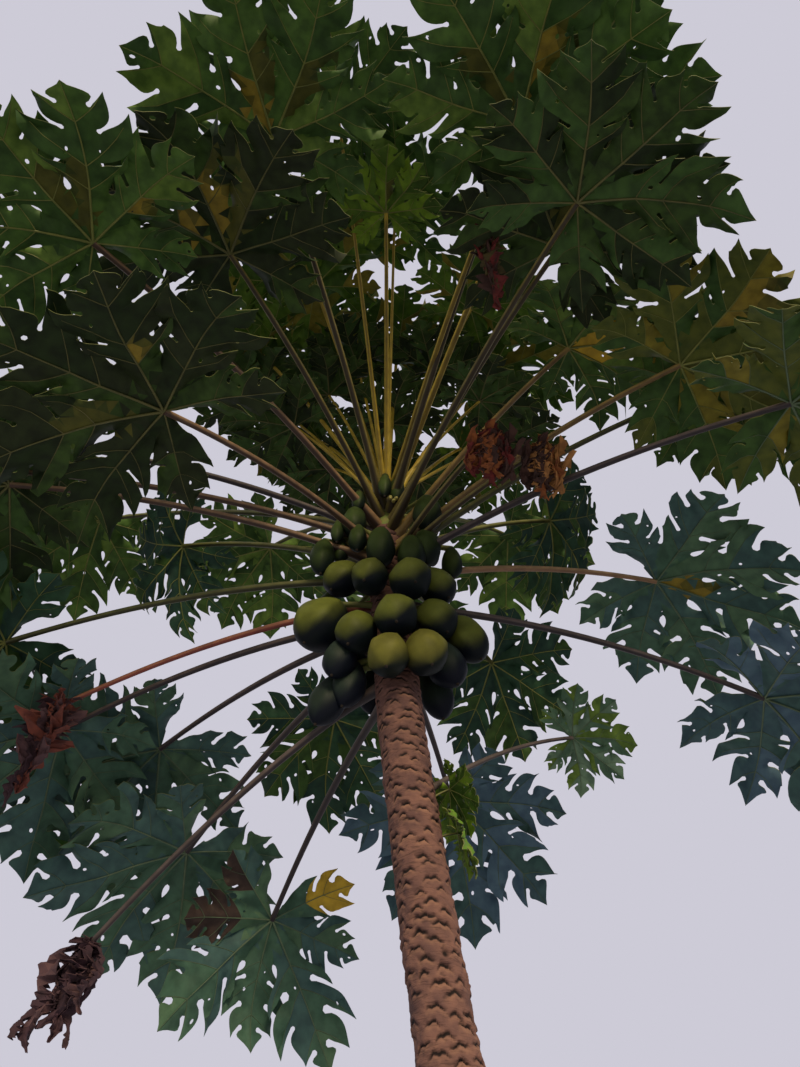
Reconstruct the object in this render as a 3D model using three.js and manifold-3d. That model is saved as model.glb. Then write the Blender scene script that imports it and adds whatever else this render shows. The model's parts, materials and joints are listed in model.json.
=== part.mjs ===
// A fruiting papaya tree: one leaning, leaf-scarred trunk, a column of fruit under the crown, and an
// umbrella of long-stalked, deeply lobed leaves, with four withered ones and one small shoot low down.
// Millimetres, +Z up. The origin is the centre of the flat cut under the trunk, at ground level.
// Azimuths are in degrees: 0 faces the front (-Y) and 90 the right-hand side (+X).
import * as THREE from "three";
import { mergeVertices } from "three/addons/utils/BufferGeometryUtils.js";
import Module from "manifold-3d";

const wasm = await Module();
wasm.setup();

const UP = new THREE.Vector3(0, 0, 1);
const GAP = 0.3; // clear space between two pieces that meet

// Trunk: it leans to the left as it climbs and straightens under the crown.
const LEAN = -300;
const LEAN_HEIGHT = 3750;
const TRUNK_TOP = 3560;
const TRUNK_SIDES = 16;
const TRUNK_RINGS = [0, 50, 130, 260, 500, 900, 1400, 1900, 2400, 2800, 3200, TRUNK_TOP];
const GROUND_RADIUS = 70;
const CROWN_RADIUS = 52;
const FLARE = 42; // how far the root flare stands out at the ground
const FLARE_HEIGHT = 110;
const ROOT_RIDGES = 5;
const ROOT_RIDGE_DEPTH = 0.1;

// Growing tip: the green top of the stem.
const TIP_SIDES = 9;
const TIP_RINGS = [
  [TRUNK_TOP + GAP, 50],
  [3680, 42],
  [3760, 26],
  [3800, 10],
];

// Leaf stalks.
const STALK_SIDES = 4;
const STALK_STEPS = 3;
const STALK_FOOT_RADIUS = 14;
const STALK_TIP_RADIUS = 8.5;
const STALK_ARCH = 0.07; // rise of the stalk's middle over its chord, as a share of its length

// Leaf blades. Each lobe is [angle from the blade's nose, share of the blade's radius, pairs of side lobes].
const LOBES = [
  [-130, 0.64, 1],
  [-82, 0.86, 1],
  [-40, 0.97, 2],
  [0, 1, 2],
  [40, 0.97, 2],
  [82, 0.86, 1],
  [130, 0.64, 1],
];
// Half outline of a lobe from the notch beside it: [share of its length, distance from its rib as a share]
const HALF_LOBES = {
  1: { edge: [[0.64, 0.24]], rib: [0.5] },
  2: { edge: [[0.62, 0.22], [0.69, 0.14], [0.85, 0.15]], rib: [0.46, 0.74] },
};
const BLADE_THICK = 8;
const BLADE_MARGIN = 3; // growth of the outline for each millimetre of clear space
const SINUS = 0.36; // radius of the notches between lobes, as a share of the blade's radius
const NECK_ANGLE = 24; // from the last lobe's rib to the open notch where the stalk comes in
const NECK_SINUS = 0.12; // radius of that notch, as the same share
const DROOP_POWER = 1.8;
const LOBE_FOLD = 0.14; // rise of a lobe's edges over its rib
const LOBE_SPREAD = 0.3; // how far the droop differs from lobe to lobe

// [name, foot height, azimuth, rise, stalk length, blade radius, nose-down angle, turn, roll, droop]
const LEAVES = [
  ["leaf_01", 3600, 333, 8, 912, 440, 14, 14, -6, 0.16],
  ["leaf_02", 3640, 344, 16, 1135, 440, 10, 4, 6, 0.16],
  ["leaf_03", 3560, 323, -4, 1130, 380, 14, 8, 8, 0.2],
  ["leaf_04", 3450, 322, -20, 840, 430, 16, -14, 0, 0.22],
  ["leaf_05", 3545, 287, 4, 975, 400, 26, 0, 0, 0.22],
  ["leaf_06", 3410, 292, -9, 1020, 400, 30, -14, 6, 0.25],
  ["leaf_07", 3500, 289, -7, 1080, 390, 26, 12, -4, 0.25],
  ["leaf_08", 3340, 268, -12, 1035, 420, 30, 6, 8, 0.26],
  ["leaf_09", 3180, 254, -10, 935, 410, 34, -8, -6, 0.26],
  ["leaf_10", 3150, 237, -3, 810, 430, 22, -4, 0, 0.2],
  ["leaf_11", 3110, 223, -14, 885, 430, 26, 10, 4, 0.24],
  ["leaf_12", 2940, 205, -12, 845, 380, 52, 0, 0, 0.35],
  ["leaf_13", 3400, 258, 24, 770, 330, 66, 0, 0, 0.3],
  ["leaf_14", 3590, 258, 20, 1150, 390, 28, -10, 0, 0.22],
  ["leaf_15", 3090, 166, 4, 750, 430, 30, 0, 4, 0.25],
  ["leaf_16", 3290, 195, 15, 800, 380, 44, 0, -6, 0.26],
  ["leaf_17", 3345, 151, 25, 850, 380, 44, 0, 6, 0.26],
  ["leaf_18", 3580, 28, 4, 960, 430, 12, -14, 5, 0.16],
  ["leaf_19", 3625, 17, 6, 1170, 420, 12, -10, -5, 0.18],
  ["leaf_20", 3540, 24, -4, 1090, 380, 16, 16, 4, 0.2],
  ["leaf_21", 3665, 23, 16, 1235, 430, 12, 4, 0, 0.16],
  ["leaf_22", 3500, 49, 27, 825, 350, 30, 16, 8, 0.22],
  ["leaf_23", 3460, 54, 5, 970, 420, 20, 10, -4, 0.2],
  ["leaf_24", 3420, 64, 14, 1020, 400, 28, -6, -6, 0.25],
  ["leaf_25", 3380, 56, -9, 1125, 400, 28, 6, 6, 0.24],
  ["leaf_26", 3350, 97, 8, 830, 440, 14, 4, 0, 0.18],
  ["leaf_27", 3230, 97, -13, 1005, 430, 30, -10, 6, 0.26],
  ["leaf_28", 3450, 104, 35, 705, 340, 62, 0, 0, 0.3],
  ["leaf_29", 3640, 222, 40, 980, 400, 24, 0, 5, 0.22],
  ["leaf_30", 3650, 136, 42, 960, 400, 24, 0, -5, 0.22],
  ["leaf_31", 3600, 180, 36, 980, 410, 28, 0, 0, 0.22],
];

// Young leaves on the growing tip, in the same columns. Their lobes have one pair of side lobes.
const YOUNG_LEAVES = [
  ["front", 3690, 0, 33, 950, 220, 8, 0, 0, 0.12],
  ["front_left", 3665, 350, 48, 1015, 370, 10, -12, 0, 0.16],
  ["left", 3720, 334, 47, 850, 370, 10, -12, 0, 0.16],
  ["front_right", 3730, 32, 45, 770, 300, 14, 0, 0, 0.16],
  ["right", 3700, 62, 56, 780, 340, 12, 0, 0, 0.16],
  ["far_left", 3700, 300, 50, 830, 370, 18, 0, 0, 0.18],
  ["upright", 3750, 8, 72, 710, 330, 8, 0, 0, 0.14],
  ["upright_left", 3740, 318, 68, 850, 340, 10, 0, 0, 0.16],
  ["back_left", 3710, 250, 66, 700, 300, 12, 0, 0, 0.16],
  ["back_right", 3690, 110, 64, 680, 300, 12, 0, 0, 0.16],
  ["back", 3740, 185, 70, 660, 280, 12, 0, 0, 0.16],
];
const YOUNG_STALK_SHARE = 0.8; // their stalks are thinner

// Withered leaves: [name, foot height, azimuth, rise, stalk length, hanging length, width]
const WITHERED = [
  ["withered_leaf_1", 3240, 261, -16, 890, 300, 110],
  ["withered_leaf_2", 2960, 240, -29, 935, 240, 150],
  ["withered_leaf_3", 3425, 39, 0, 545, 260, 240],
];
const YOUNG_WITHERED = ["withered_leaf_4", 3705, 19, 20, 860, 220, 90];
const WITHERED_SIDES = 10;
const WITHERED_RINGS = [
  [0, 0.16],
  [0.1, 0.55],
  [0.3, 1],
  [0.55, 0.92],
  [0.8, 0.6],
  [1, 0.18],
];
const WITHERED_PLEAT = 0.28;
const WITHERED_CRUMPLE = 0.15;
const WITHERED_TWIST = 20; // degrees from ring to ring
const WITHERED_HOOD = 20; // its top stands this much over the end of its stalk

// Fruit: [azimuth, height of the middle, distance of the middle from the trunk's axis, length, width, splay]
const FRUIT = [
  [280, 3128, 182, 165, 136, 48],
  [290, 3300, 132, 130, 100, 45],
  [336, 3222, 122, 125, 100, 45],
  [250, 3270, 188, 145, 92, 50],
  [314, 3034, 124, 130, 104, 35],
  [3, 3051, 124, 130, 110, 40],
  [350, 2925, 116, 130, 104, 25],
  [33, 2945, 124, 135, 108, 28],
  [22, 3195, 134, 130, 112, 48],
  [62, 3240, 140, 145, 98, 45],
  [58, 3100, 130, 135, 104, 40],
  [86, 3090, 188, 155, 102, 45],
  [350, 3358, 112, 130, 100, 45],
  [80, 2990, 124, 145, 100, 25],
  [128, 3007, 122, 150, 98, 20],
  [262, 2915, 165, 150, 92, 26],
  [247, 3050, 122, 130, 88, 14],
  [205, 3030, 122, 130, 90, 15],
  [32, 3335, 122, 120, 90, 42],
  [222, 3265, 128, 135, 92, 38],
  [184, 3170, 124, 140, 92, 30],
  [146, 3225, 128, 140, 92, 34],
  [115, 3135, 134, 140, 94, 34],
];
const YOUNG_FRUIT = [
  [268, 3600, 110, 105, 66, 40],
  [358, 3570, 92, 100, 62, 30],
  [85, 3580, 120, 110, 66, 42],
  [200, 3600, 96, 92, 60, 30],
];
const FRUIT_SIDES = 7;
// Outline of a fruit from its stalk to its tip: [share of the length, share of the half width]
const FRUIT_OUTLINE = [
  [0.05, 0.3],
  [0.3, 0.84],
  [0.62, 1],
  [0.86, 0.7],
  [0.98, 0.2],
];
const FRUIT_STALK_SIDES = 4;
const FRUIT_STALK_STEPS = 2;
const FRUIT_STALK_RADIUS = 9;
const FRUIT_STALK_RISE = 14; // its foot stands this much over its neck
const FRUIT_STALK_FOOT = 26; // distance of its foot from the trunk's axis
const FRUIT_STALK_DEPTH = 0.3; // share of the fruit's length at which it ends inside

// Small shoot on the trunk.
const SHOOT = ["side_shoot", 2600, 108, 28, 520, 150, 50, 60, 0, 0.15];
const SHOOT_STALK_SHARE = 0.6; // its stalk is thinner than those of the crown

const radians = THREE.MathUtils.degToRad;

// A fixed number between 0 and 1 for each seed.
function chance(seed) {
  const wave = Math.sin(seed * 12.9898) * 43758.5453;
  return wave - Math.floor(wave);
}

// Unit vector at an azimuth, raised out of the level.
function heading(azimuth, rise = 0) {
  const level = Math.cos(radians(rise));
  return new THREE.Vector3(
    Math.sin(radians(azimuth)) * level,
    -Math.cos(radians(azimuth)) * level,
    Math.sin(radians(rise)),
  );
}

function trunkAxis(height) {
  return new THREE.Vector3(LEAN * THREE.MathUtils.smoothstep(height, 0, LEAN_HEIGHT), 0, height);
}

function trunkRadius(height, azimuth = 0, clear = 0) {
  const taper = THREE.MathUtils.lerp(GROUND_RADIUS, CROWN_RADIUS, height / TRUNK_TOP);
  const flare = FLARE * Math.exp(-height / FLARE_HEIGHT);
  const ridges = ROOT_RIDGE_DEPTH * Math.cos(ROOT_RIDGES * radians(azimuth));
  const ridge = 1 + ridges * Math.exp(-height / FLARE_HEIGHT);
  return (taper + flare) * ridge + clear;
}

// Closed skin over rings of points, all with the same number of points.
function skin(rings) {
  const sides = rings[0].length;
  const positions = rings.flat().flatMap((p) => [p.x, p.y, p.z]);
  const first = rings[0].reduce((sum, p) => sum.add(p), new THREE.Vector3()).divideScalar(sides);
  const last = rings.at(-1).reduce((sum, p) => sum.add(p), new THREE.Vector3()).divideScalar(sides);
  positions.push(...first.toArray(), ...last.toArray());
  const firstCentre = rings.length * sides;
  const lastCentre = firstCentre + 1;
  const index = [];
  for (let i = 0; i < sides; i++) {
    const next = (i + 1) % sides;
    for (let r = 0; r + 1 < rings.length; r++) {
      const a = r * sides + i;
      const b = r * sides + next;
      index.push(a, b, b + sides, a, b + sides, a + sides);
    }
    const top = (rings.length - 1) * sides;
    index.push(firstCentre, next, i, lastCentre, top + i, top + next);
  }
  return closed(positions, index);
}

function closed(positions, index) {
  return new THREE.BufferGeometry()
    .setAttribute("position", new THREE.Float32BufferAttribute(positions, 3))
    .setIndex(index);
}

function solid(geometry) {
  const merged = mergeVertices(geometry, 1e-4);
  return new wasm.Manifold(
    new wasm.Mesh({
      numProp: 3,
      vertProperties: merged.attributes.position.array,
      triVerts: new Uint32Array(merged.index.array),
    }),
  );
}

// A shape as a solid, with the space that it keeps clear and the box round that.
// The shape is a function of the clearance and gives one or more closed skins.
function body(shape) {
  const fuse = (clear) => shape(clear).map(solid).reduce((made, part) => made.add(part));
  const box = new THREE.Box3();
  shape(GAP).forEach((geometry) => {
    box.union(new THREE.Box3().setFromBufferAttribute(geometry.getAttribute("position")));
  });
  return { made: fuse(0), clear: fuse(GAP), box };
}

function largest(made) {
  return made.decompose().sort((a, b) => b.volume() - a.volume())[0];
}

// What is left of a body once its neighbours have the space that they keep clear.
function cutRound(item, neighbours) {
  const close = neighbours.filter((other) => other !== item && other.box.intersectsBox(item.box));
  return largest(close.reduce((made, other) => made.subtract(other.clear), item.made));
}

function trunk(clear = 0) {
  const ringAt = (height, drop = 0) =>
    Array.from({ length: TRUNK_SIDES }, (_, i) => {
      const azimuth = (360 * i) / TRUNK_SIDES;
      const radius = trunkRadius(height, azimuth, clear);
      return trunkAxis(height).addScaledVector(heading(azimuth), radius).addScaledVector(UP, drop);
    });
  const rings = TRUNK_RINGS.map((height) => ringAt(height));
  if (clear > 0) rings[rings.length - 1] = ringAt(TRUNK_TOP, clear);
  return [skin(rings)];
}

function growingTip(clear = 0) {
  const rings = TIP_RINGS.map(([height, radius]) =>
    Array.from({ length: TIP_SIDES }, (_, i) =>
      trunkAxis(height).addScaledVector(heading((360 * i) / TIP_SIDES), radius + clear),
    ),
  );
  return skin(rings);
}

// Tapering limb of round section along a curve.
function limb(curve, steps, sides, radiusAt) {
  const frames = curve.computeFrenetFrames(steps);
  const rings = Array.from({ length: steps + 1 }, (_, k) => {
    const centre = curve.getPointAt(k / steps);
    return Array.from({ length: sides }, (_, i) => {
      const angle = (2 * Math.PI * i) / sides;
      return centre
        .clone()
        .addScaledVector(frames.normals[k], radiusAt(k / steps) * Math.cos(angle))
        .addScaledVector(frames.binormals[k], radiusAt(k / steps) * Math.sin(angle));
    });
  });
  return skin(rings);
}

function stalkCurve(foot, azimuth, rise, length) {
  const start = trunkAxis(foot);
  const end = start.clone().addScaledVector(heading(azimuth, rise), length);
  const middle = start.clone().lerp(end, 0.5).addScaledVector(UP, 2 * STALK_ARCH * length);
  return new THREE.QuadraticBezierCurve3(start, middle, end);
}

function stalk(curve, clear = 0, share = 1) {
  const radiusAt = (t) => share * THREE.MathUtils.lerp(STALK_FOOT_RADIUS, STALK_TIP_RADIUS, t) + clear;
  return limb(curve, STALK_STEPS, STALK_SIDES, radiusAt);
}

// Axes of a blade at the end of its stalk: nose, left side and upper face.
function bladeFrame(azimuth, nose, turn, roll) {
  const forward = heading(azimuth + turn, -nose);
  const side = heading(azimuth + turn + 90);
  const face = new THREE.Vector3().crossVectors(forward, side);
  side.applyAxisAngle(forward, radians(roll));
  face.applyAxisAngle(forward, radians(roll));
  return { forward, side, face };
}

// A lobed blade as a closed plate. Each lobe folds up from its rib and droops towards its tip.
function blade(origin, frame, radius, droop, seed, mostPairs, clear = 0) {
  const points = [];
  const faces = [];
  const outline = [];
  const add = (x, y, lobeDroop, lift) => {
    const r = Math.hypot(x, y);
    points.push([x, y, lift - lobeDroop * radius * Math.pow(r / radius, DROOP_POWER)]);
    return points.length - 1;
  };
  const polar = (angle, r) => [r * Math.cos(radians(angle)), r * Math.sin(radians(angle))];
  const centre = add(0, 0, droop, 0);
  const notchAngles = LOBES.slice(1).map(([angle], i) => (angle + LOBES[i][0]) / 2);
  const notches = [
    add(...polar(LOBES[0][0] - NECK_ANGLE, NECK_SINUS * radius), droop, 0),
    ...notchAngles.map((angle) => add(...polar(angle, SINUS * radius), droop, 0)),
    add(...polar(LOBES.at(-1)[0] + NECK_ANGLE, NECK_SINUS * radius), droop, 0),
  ];
  LOBES.forEach(([angle, share, fullPairs], k) => {
    const pairs = Math.min(fullPairs, mostPairs);
    const length = radius * share;
    const lobeDroop = droop * (1 + LOBE_SPREAD * (chance(seed + k) - 0.5) * 2);
    const { edge, rib } = HALF_LOBES[pairs];
    const place = (along, across, lift) => {
      const c = Math.cos(radians(angle));
      const s = Math.sin(radians(angle));
      const a = along * length;
      const b = across * length;
      return add(a * c - b * s, a * s + b * c, lobeDroop, lift);
    };
    const ribs = rib.map((along) => place(along, 0, 0));
    const tip = place(1, 0, 0);
    faces.push([centre, notches[k], notches[k + 1]], [notches[k], ribs[0], notches[k + 1]]);
    const sides = [-1, 1].map((hand) =>
      edge.map(([along, across]) => place(along, hand * across, LOBE_FOLD * across * length)),
    );
    [[notches[k], sides[0], false], [notches[k + 1], sides[1], true]].forEach(([notch, side, left]) => {
      const strips = pairs === 2
        ? [[ribs[0], notch, side[0]], [ribs[0], side[0], side[1]], [ribs[0], side[1], ribs[1]],
          [ribs[1], side[1], side[2]], [ribs[1], side[2], tip]]
        : [[ribs[0], notch, side[0]], [ribs[0], side[0], tip]];
      strips.forEach(([a, b, c]) => faces.push(left ? [a, c, b] : [a, b, c]));
    });
    outline.push(notches[k], ...sides[0], tip, ...sides[1].toReversed());
  });
  outline.push(notches.at(-1), centre);
  const half = BLADE_THICK / 2 + clear;
  const grow = 1 + (BLADE_MARGIN * clear) / radius;
  const world = (x, y, z) =>
    origin
      .clone()
      .addScaledVector(frame.forward, x * grow)
      .addScaledVector(frame.side, y * grow)
      .addScaledVector(frame.face, z)
      .toArray();
  const count = points.length;
  const positions = [
    ...points.flatMap(([x, y, z]) => world(x, y, z + half)),
    ...points.flatMap(([x, y, z]) => world(x, y, z - half)),
  ];
  const index = faces.flatMap(([a, b, c]) => [a, b, c, a + count, c + count, b + count]);
  outline.forEach((a, i) => {
    const b = outline[(i + 1) % outline.length];
    index.push(a, a + count, b + count, a, b + count, b);
  });
  return closed(positions, index);
}

// A withered leaf hangs from its stalk as a pleated, twisted bag.
function witheredBag(top, length, width, seed, clear = 0) {
  const rings = WITHERED_RINGS.map(([along, share], r) =>
    Array.from({ length: WITHERED_SIDES }, (_, i) => {
      const pleat = 1 - WITHERED_PLEAT * (i % 2) - WITHERED_CRUMPLE * chance(seed + 7 * i + r);
      const out = 0.5 * width * share * pleat + clear;
      const centre = top.clone().addScaledVector(UP, WITHERED_HOOD - along * length);
      return centre.addScaledVector(heading((360 * i) / WITHERED_SIDES + WITHERED_TWIST * r), out);
    }),
  ).toReversed();
  return skin(rings);
}

// A fruit hangs from a short stalk whose foot is on the stem.
function fruit([azimuth, height, distance, length, width, splay], clear = 0) {
  const out = heading(azimuth);
  const down = heading(azimuth, splay - 90);
  const middle = trunkAxis(height).addScaledVector(out, distance);
  const neck = middle.clone().addScaledVector(down, -length / 2);
  const foot = trunkAxis(neck.z + FRUIT_STALK_RISE).addScaledVector(out, FRUIT_STALK_FOOT);
  const side = heading(azimuth + 90);
  const front = new THREE.Vector3().crossVectors(down, side);
  const rings = FRUIT_OUTLINE.map(([along, share]) =>
    Array.from({ length: FRUIT_SIDES }, (_, i) => {
      const angle = (2 * Math.PI * i) / FRUIT_SIDES;
      const reach = (width / 2) * share + clear;
      return neck
        .clone()
        .addScaledVector(down, along * length)
        .addScaledVector(side, reach * Math.cos(angle))
        .addScaledVector(front, reach * Math.sin(angle));
    }),
  );
  const inside = neck.clone().addScaledVector(down, FRUIT_STALK_DEPTH * length);
  const route = new THREE.QuadraticBezierCurve3(foot, neck, inside);
  return [skin(rings), limb(route, FRUIT_STALK_STEPS, FRUIT_STALK_SIDES, () => FRUIT_STALK_RADIUS + clear)];
}

const stem = body(trunk);
const tip = body((clear) => [growingTip(clear)]);
const youngFruits = YOUNG_FRUIT.map((row) => body((clear) => fruit(row, clear)));
const fruits = FRUIT.map((row) => body((clear) => fruit(row, clear)));

const growLeaf = (share, mostPairs) => (row, i) => {
  const [name, foot, azimuth, rise, length, radius, nose, turn, roll, droop] = row;
  const curve = stalkCurve(foot, azimuth, rise, length);
  const frame = bladeFrame(azimuth, nose, turn, roll);
  return {
    name,
    stalk: body((clear) => [stalk(curve, clear, share)]),
    mass: body((clear) => [blade(curve.getPoint(1), frame, radius, droop, 10 * i + foot, mostPairs, clear)]),
  };
};

const growWithered = ([name, foot, azimuth, rise, length, hang, width]) => {
  const curve = stalkCurve(foot, azimuth, rise, length);
  return {
    name,
    stalk: body((clear) => [stalk(curve, clear)]),
    mass: body((clear) => [witheredBag(curve.getPoint(1), hang, width, foot, clear)]),
  };
};

const leaves = [
  ...LEAVES.map(growLeaf(1, 2)),
  ...[SHOOT].map(growLeaf(SHOOT_STALK_SHARE, 1)),
  ...WITHERED.map(growWithered),
];
const youngLeaves = [...YOUNG_LEAVES.map(growLeaf(YOUNG_STALK_SHARE, 1)), growWithered(YOUNG_WITHERED)];

// The stem is whole, stalks give way to it, fruit to stalks, and blades to all that stands before them.
const crown = [...youngLeaves, ...leaves];
const stalks = crown.map((leaf) => leaf.stalk);
const youngStalks = youngLeaves.map((leaf) => leaf.stalk);
const masses = crown.map((leaf) => leaf.mass);

function bladeLeft(leaf) {
  const i = crown.indexOf(leaf);
  const others = stalks.filter((item) => item !== leaf.stalk);
  return cutRound(leaf.mass, [stem, tip, ...youngFruits, ...fruits, ...others, ...masses.slice(0, i)]);
}

// The young leaves and young fruit are one piece with the growing tip.
const tipParts = [
  ...youngLeaves.map((leaf) => cutRound(leaf.stalk, [stem]).add(bladeLeft(leaf))),
  ...youngFruits.map((item, i) => cutRound(item, [stem, ...stalks, ...youngFruits.slice(0, i)])),
];

const pieces = new Map([["trunk", stem.made]]);
pieces.set("growing_tip", largest(tipParts.reduce((made, part) => made.add(part), tip.made)));
fruits.forEach((item, i) => {
  const name = `fruit_${String(i + 1).padStart(2, "0")}`;
  pieces.set(name, cutRound(item, [stem, tip, ...stalks, ...youngFruits, ...fruits.slice(0, i)]));
});
leaves.forEach((leaf, i) => {
  const earlier = leaves.slice(0, i).map((other) => other.stalk);
  const ownStalk = cutRound(leaf.stalk, [stem, tip, ...youngStalks, ...earlier]);
  pieces.set(leaf.name, largest(ownStalk.add(bladeLeft(leaf))));
});

const LOOKS = {
  trunk: { color: 0x8a6348, roughness: 0.9 },
  growing_tip: { color: 0x5d7a34, roughness: 0.7 },
  fruit: { color: 0x5f7a2c, roughness: 0.5 },
  withered: { color: 0x6b3a24, roughness: 0.95 },
  leaf: { color: 0x2f5a2a, roughness: 0.6 },
  side: { color: 0x4f7a35, roughness: 0.6 },
};

function meshOf(name, made) {
  const { vertProperties, triVerts } = made.getMesh();
  const kind = Object.keys(LOOKS).find((key) => name.startsWith(key));
  const material = new THREE.MeshStandardMaterial({ ...LOOKS[kind], metalness: 0 });
  const mesh = new THREE.Mesh(closed(vertProperties, Array.from(triVerts)), material);
  mesh.geometry.computeVertexNormals();
  mesh.name = name;
  return mesh;
}

const tree = new THREE.Group();
pieces.forEach((made, name) => tree.add(meshOf(name, made)));

export default tree;
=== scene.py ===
# The looks of a fruiting papaya tree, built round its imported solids: bark with leaf scars, fine leaf
# stalks, lobed blades with their ribs, fruit, flower buds and crumpled withered leaves.
# Lengths are in millimetres, as in the part's source, and turn into metres when a mesh is made.
# Azimuths are in degrees: 0 faces the front (-Y) and 90 the right-hand side (+X).
import json
import math

import bpy
import numpy as np
from mathutils import Matrix, Vector
from mathutils.geometry import delaunay_2d_cdt

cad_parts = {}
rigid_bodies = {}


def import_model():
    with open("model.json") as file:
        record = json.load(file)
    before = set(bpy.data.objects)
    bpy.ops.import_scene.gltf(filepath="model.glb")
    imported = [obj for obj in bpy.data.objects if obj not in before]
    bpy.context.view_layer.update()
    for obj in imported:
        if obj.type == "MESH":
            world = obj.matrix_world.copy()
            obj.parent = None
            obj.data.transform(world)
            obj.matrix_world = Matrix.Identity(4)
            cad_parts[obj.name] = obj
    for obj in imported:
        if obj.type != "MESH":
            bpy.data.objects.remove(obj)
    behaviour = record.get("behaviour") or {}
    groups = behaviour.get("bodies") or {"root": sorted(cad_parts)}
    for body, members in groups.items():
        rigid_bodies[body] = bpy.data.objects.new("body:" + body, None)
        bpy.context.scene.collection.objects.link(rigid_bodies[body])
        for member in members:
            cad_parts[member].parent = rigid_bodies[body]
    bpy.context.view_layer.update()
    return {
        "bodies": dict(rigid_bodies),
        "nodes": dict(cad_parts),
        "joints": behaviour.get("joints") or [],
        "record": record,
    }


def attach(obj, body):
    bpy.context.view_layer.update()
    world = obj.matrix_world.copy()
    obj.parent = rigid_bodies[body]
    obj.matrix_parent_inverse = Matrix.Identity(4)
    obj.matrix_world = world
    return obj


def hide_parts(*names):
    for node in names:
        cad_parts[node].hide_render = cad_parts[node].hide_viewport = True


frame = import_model()

MM = 0.001

# Photograph
PHOTO_SIZE = (800, 1067)
FOCAL_PIXELS = 801
CAMERA_PLACE = (-0.256, -1.42, 1.55)
CAMERA_PITCH = 55
SENSOR = 36

# Light, and the floor's half width
SKY = (205, 203, 215)
SUN_FROM = (0.2, -0.9, 0.4)
SUN_STRENGTH = 4.0
SUN_SPREAD = 20
SUN_COLOUR = (1.0, 0.8, 0.52)
FLOOR_SIZE = 60000

# Trunk, as in the part's source
LEAN = -300
LEAN_HEIGHT = 3750
TRUNK_TOP = 3560
GROUND_RADIUS = 70
CROWN_RADIUS = 52
FLARE = 42
FLARE_HEIGHT = 110
ROOT_RIDGES = 5
ROOT_RIDGE_DEPTH = 0.1
TIP_SIDES = 24
TIP_RINGS = [(3558, 50), (3600, 48), (3680, 42), (3730, 33), (3760, 26), (3785, 17), (3800, 9)]

# Bark
BARK_COLUMNS = 112
BARK_ROWS = 860
BARK_SPLIT = 1750  # height at which the upper piece begins
BARK_AROUND = 2 * np.pi * CROWN_RADIUS * 1.12  # the sheet that the scars are laid out on, round the trunk
FIRST_SCAR = 6
SCAR_TURN = 137.5
SCAR_STEP = 3.5
SCAR_HALF_WIDTH = 23
SCAR_ARCH = 9
SCAR_REACH = 42  # how far above and below its middle a scar can show
CREASE_DEPTH = 4.2
CREASE_HALF = 3.2
MOUND = 1.7
MOUND_HEIGHT = 15
BARK_INSET = 2.0  # the bark's middle lies this much inside the plain trunk under the crown
LOW_INSET = 5.5  # and this much more below
# Unevenness of the bark: [size of the lumps, height]
BARK_LUMPS = [(60, 1.8), (20, 1.5), (8, 1.0)]
# Old knots: azimuth, height, radius
KNOTS = [(20, 2260, 13), (75, 2235, 12), (330, 2010, 12), (35, 1700, 14), (200, 2500, 12), (150, 1300, 14)]

# Leaf stalks, as in the part's source
STALK_FOOT_RADIUS = 14
STALK_TIP_RADIUS = 8.5
STALK_ARCH = 0.07
STALK_STEPS = 20
STALK_SIDES = 12
WITHERED_STALK_SHARE = 0.9

# Blades: the source's lobes, each [angle from the nose, share of the radius, side lobes on each side]
LOBES = [
    (-130, 0.64, 2), (-82, 0.86, 3), (-40, 0.97, 3), (0, 1, 3), (40, 0.97, 3), (82, 0.86, 3), (130, 0.64, 2),
]
SINUS = 0.31
NECK_ANGLE = 24
NECK_SINUS = 0.12
DROOP_POWER = 1.8
LOBE_FOLD = 0.14
LOBE_SPREAD = 0.3
BLADE_THICK = 1.8
RIB_ROOTS = np.array([0.0, 0.345, 0.5, 0.74, 1.0])  # where the side ribs leave the main rib
# Side lobes from the notch outwards: tip and base of the slot beyond it, each (along, across) as a share of
# the lobe's length, and where the side rib leaves the main rib
SIDE_LOBES = {
    3: [
        ((0.57, 0.250), (0.50, 0.085), 0.345),
        ((0.80, 0.300), (0.71, 0.075), 0.5),
        ((0.93, 0.175), (0.86, 0.055), 0.74),
    ],
    2: [
        ((0.66, 0.275), (0.58, 0.085), 0.42),
        ((0.90, 0.215), (0.81, 0.065), 0.64),
    ],
}
SLOT = 0.013
SLOT_EYE = 1.5  # radius of a slot's round inner end, in half widths of the slot
PLEAT = 0.03
WAVER = 0.035
EYE = 0.024  # half width of the gap at a notch between two lobes
HOLES = 2  # small holes in each lobe
HOLE_SIDES = 6
RIB_ALONG = (0.06, 0.13, 0.2, 0.27, 0.345, 0.42, 0.5, 0.585, 0.64, 0.7, 0.76, 0.82, 0.88, 0.94)
MAIN_RIB = (4.0, 0.8)  # radius at the foot and at the tip
SIDE_RIB = (1.5, 0.5)
RIB_SIDES = 4

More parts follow.
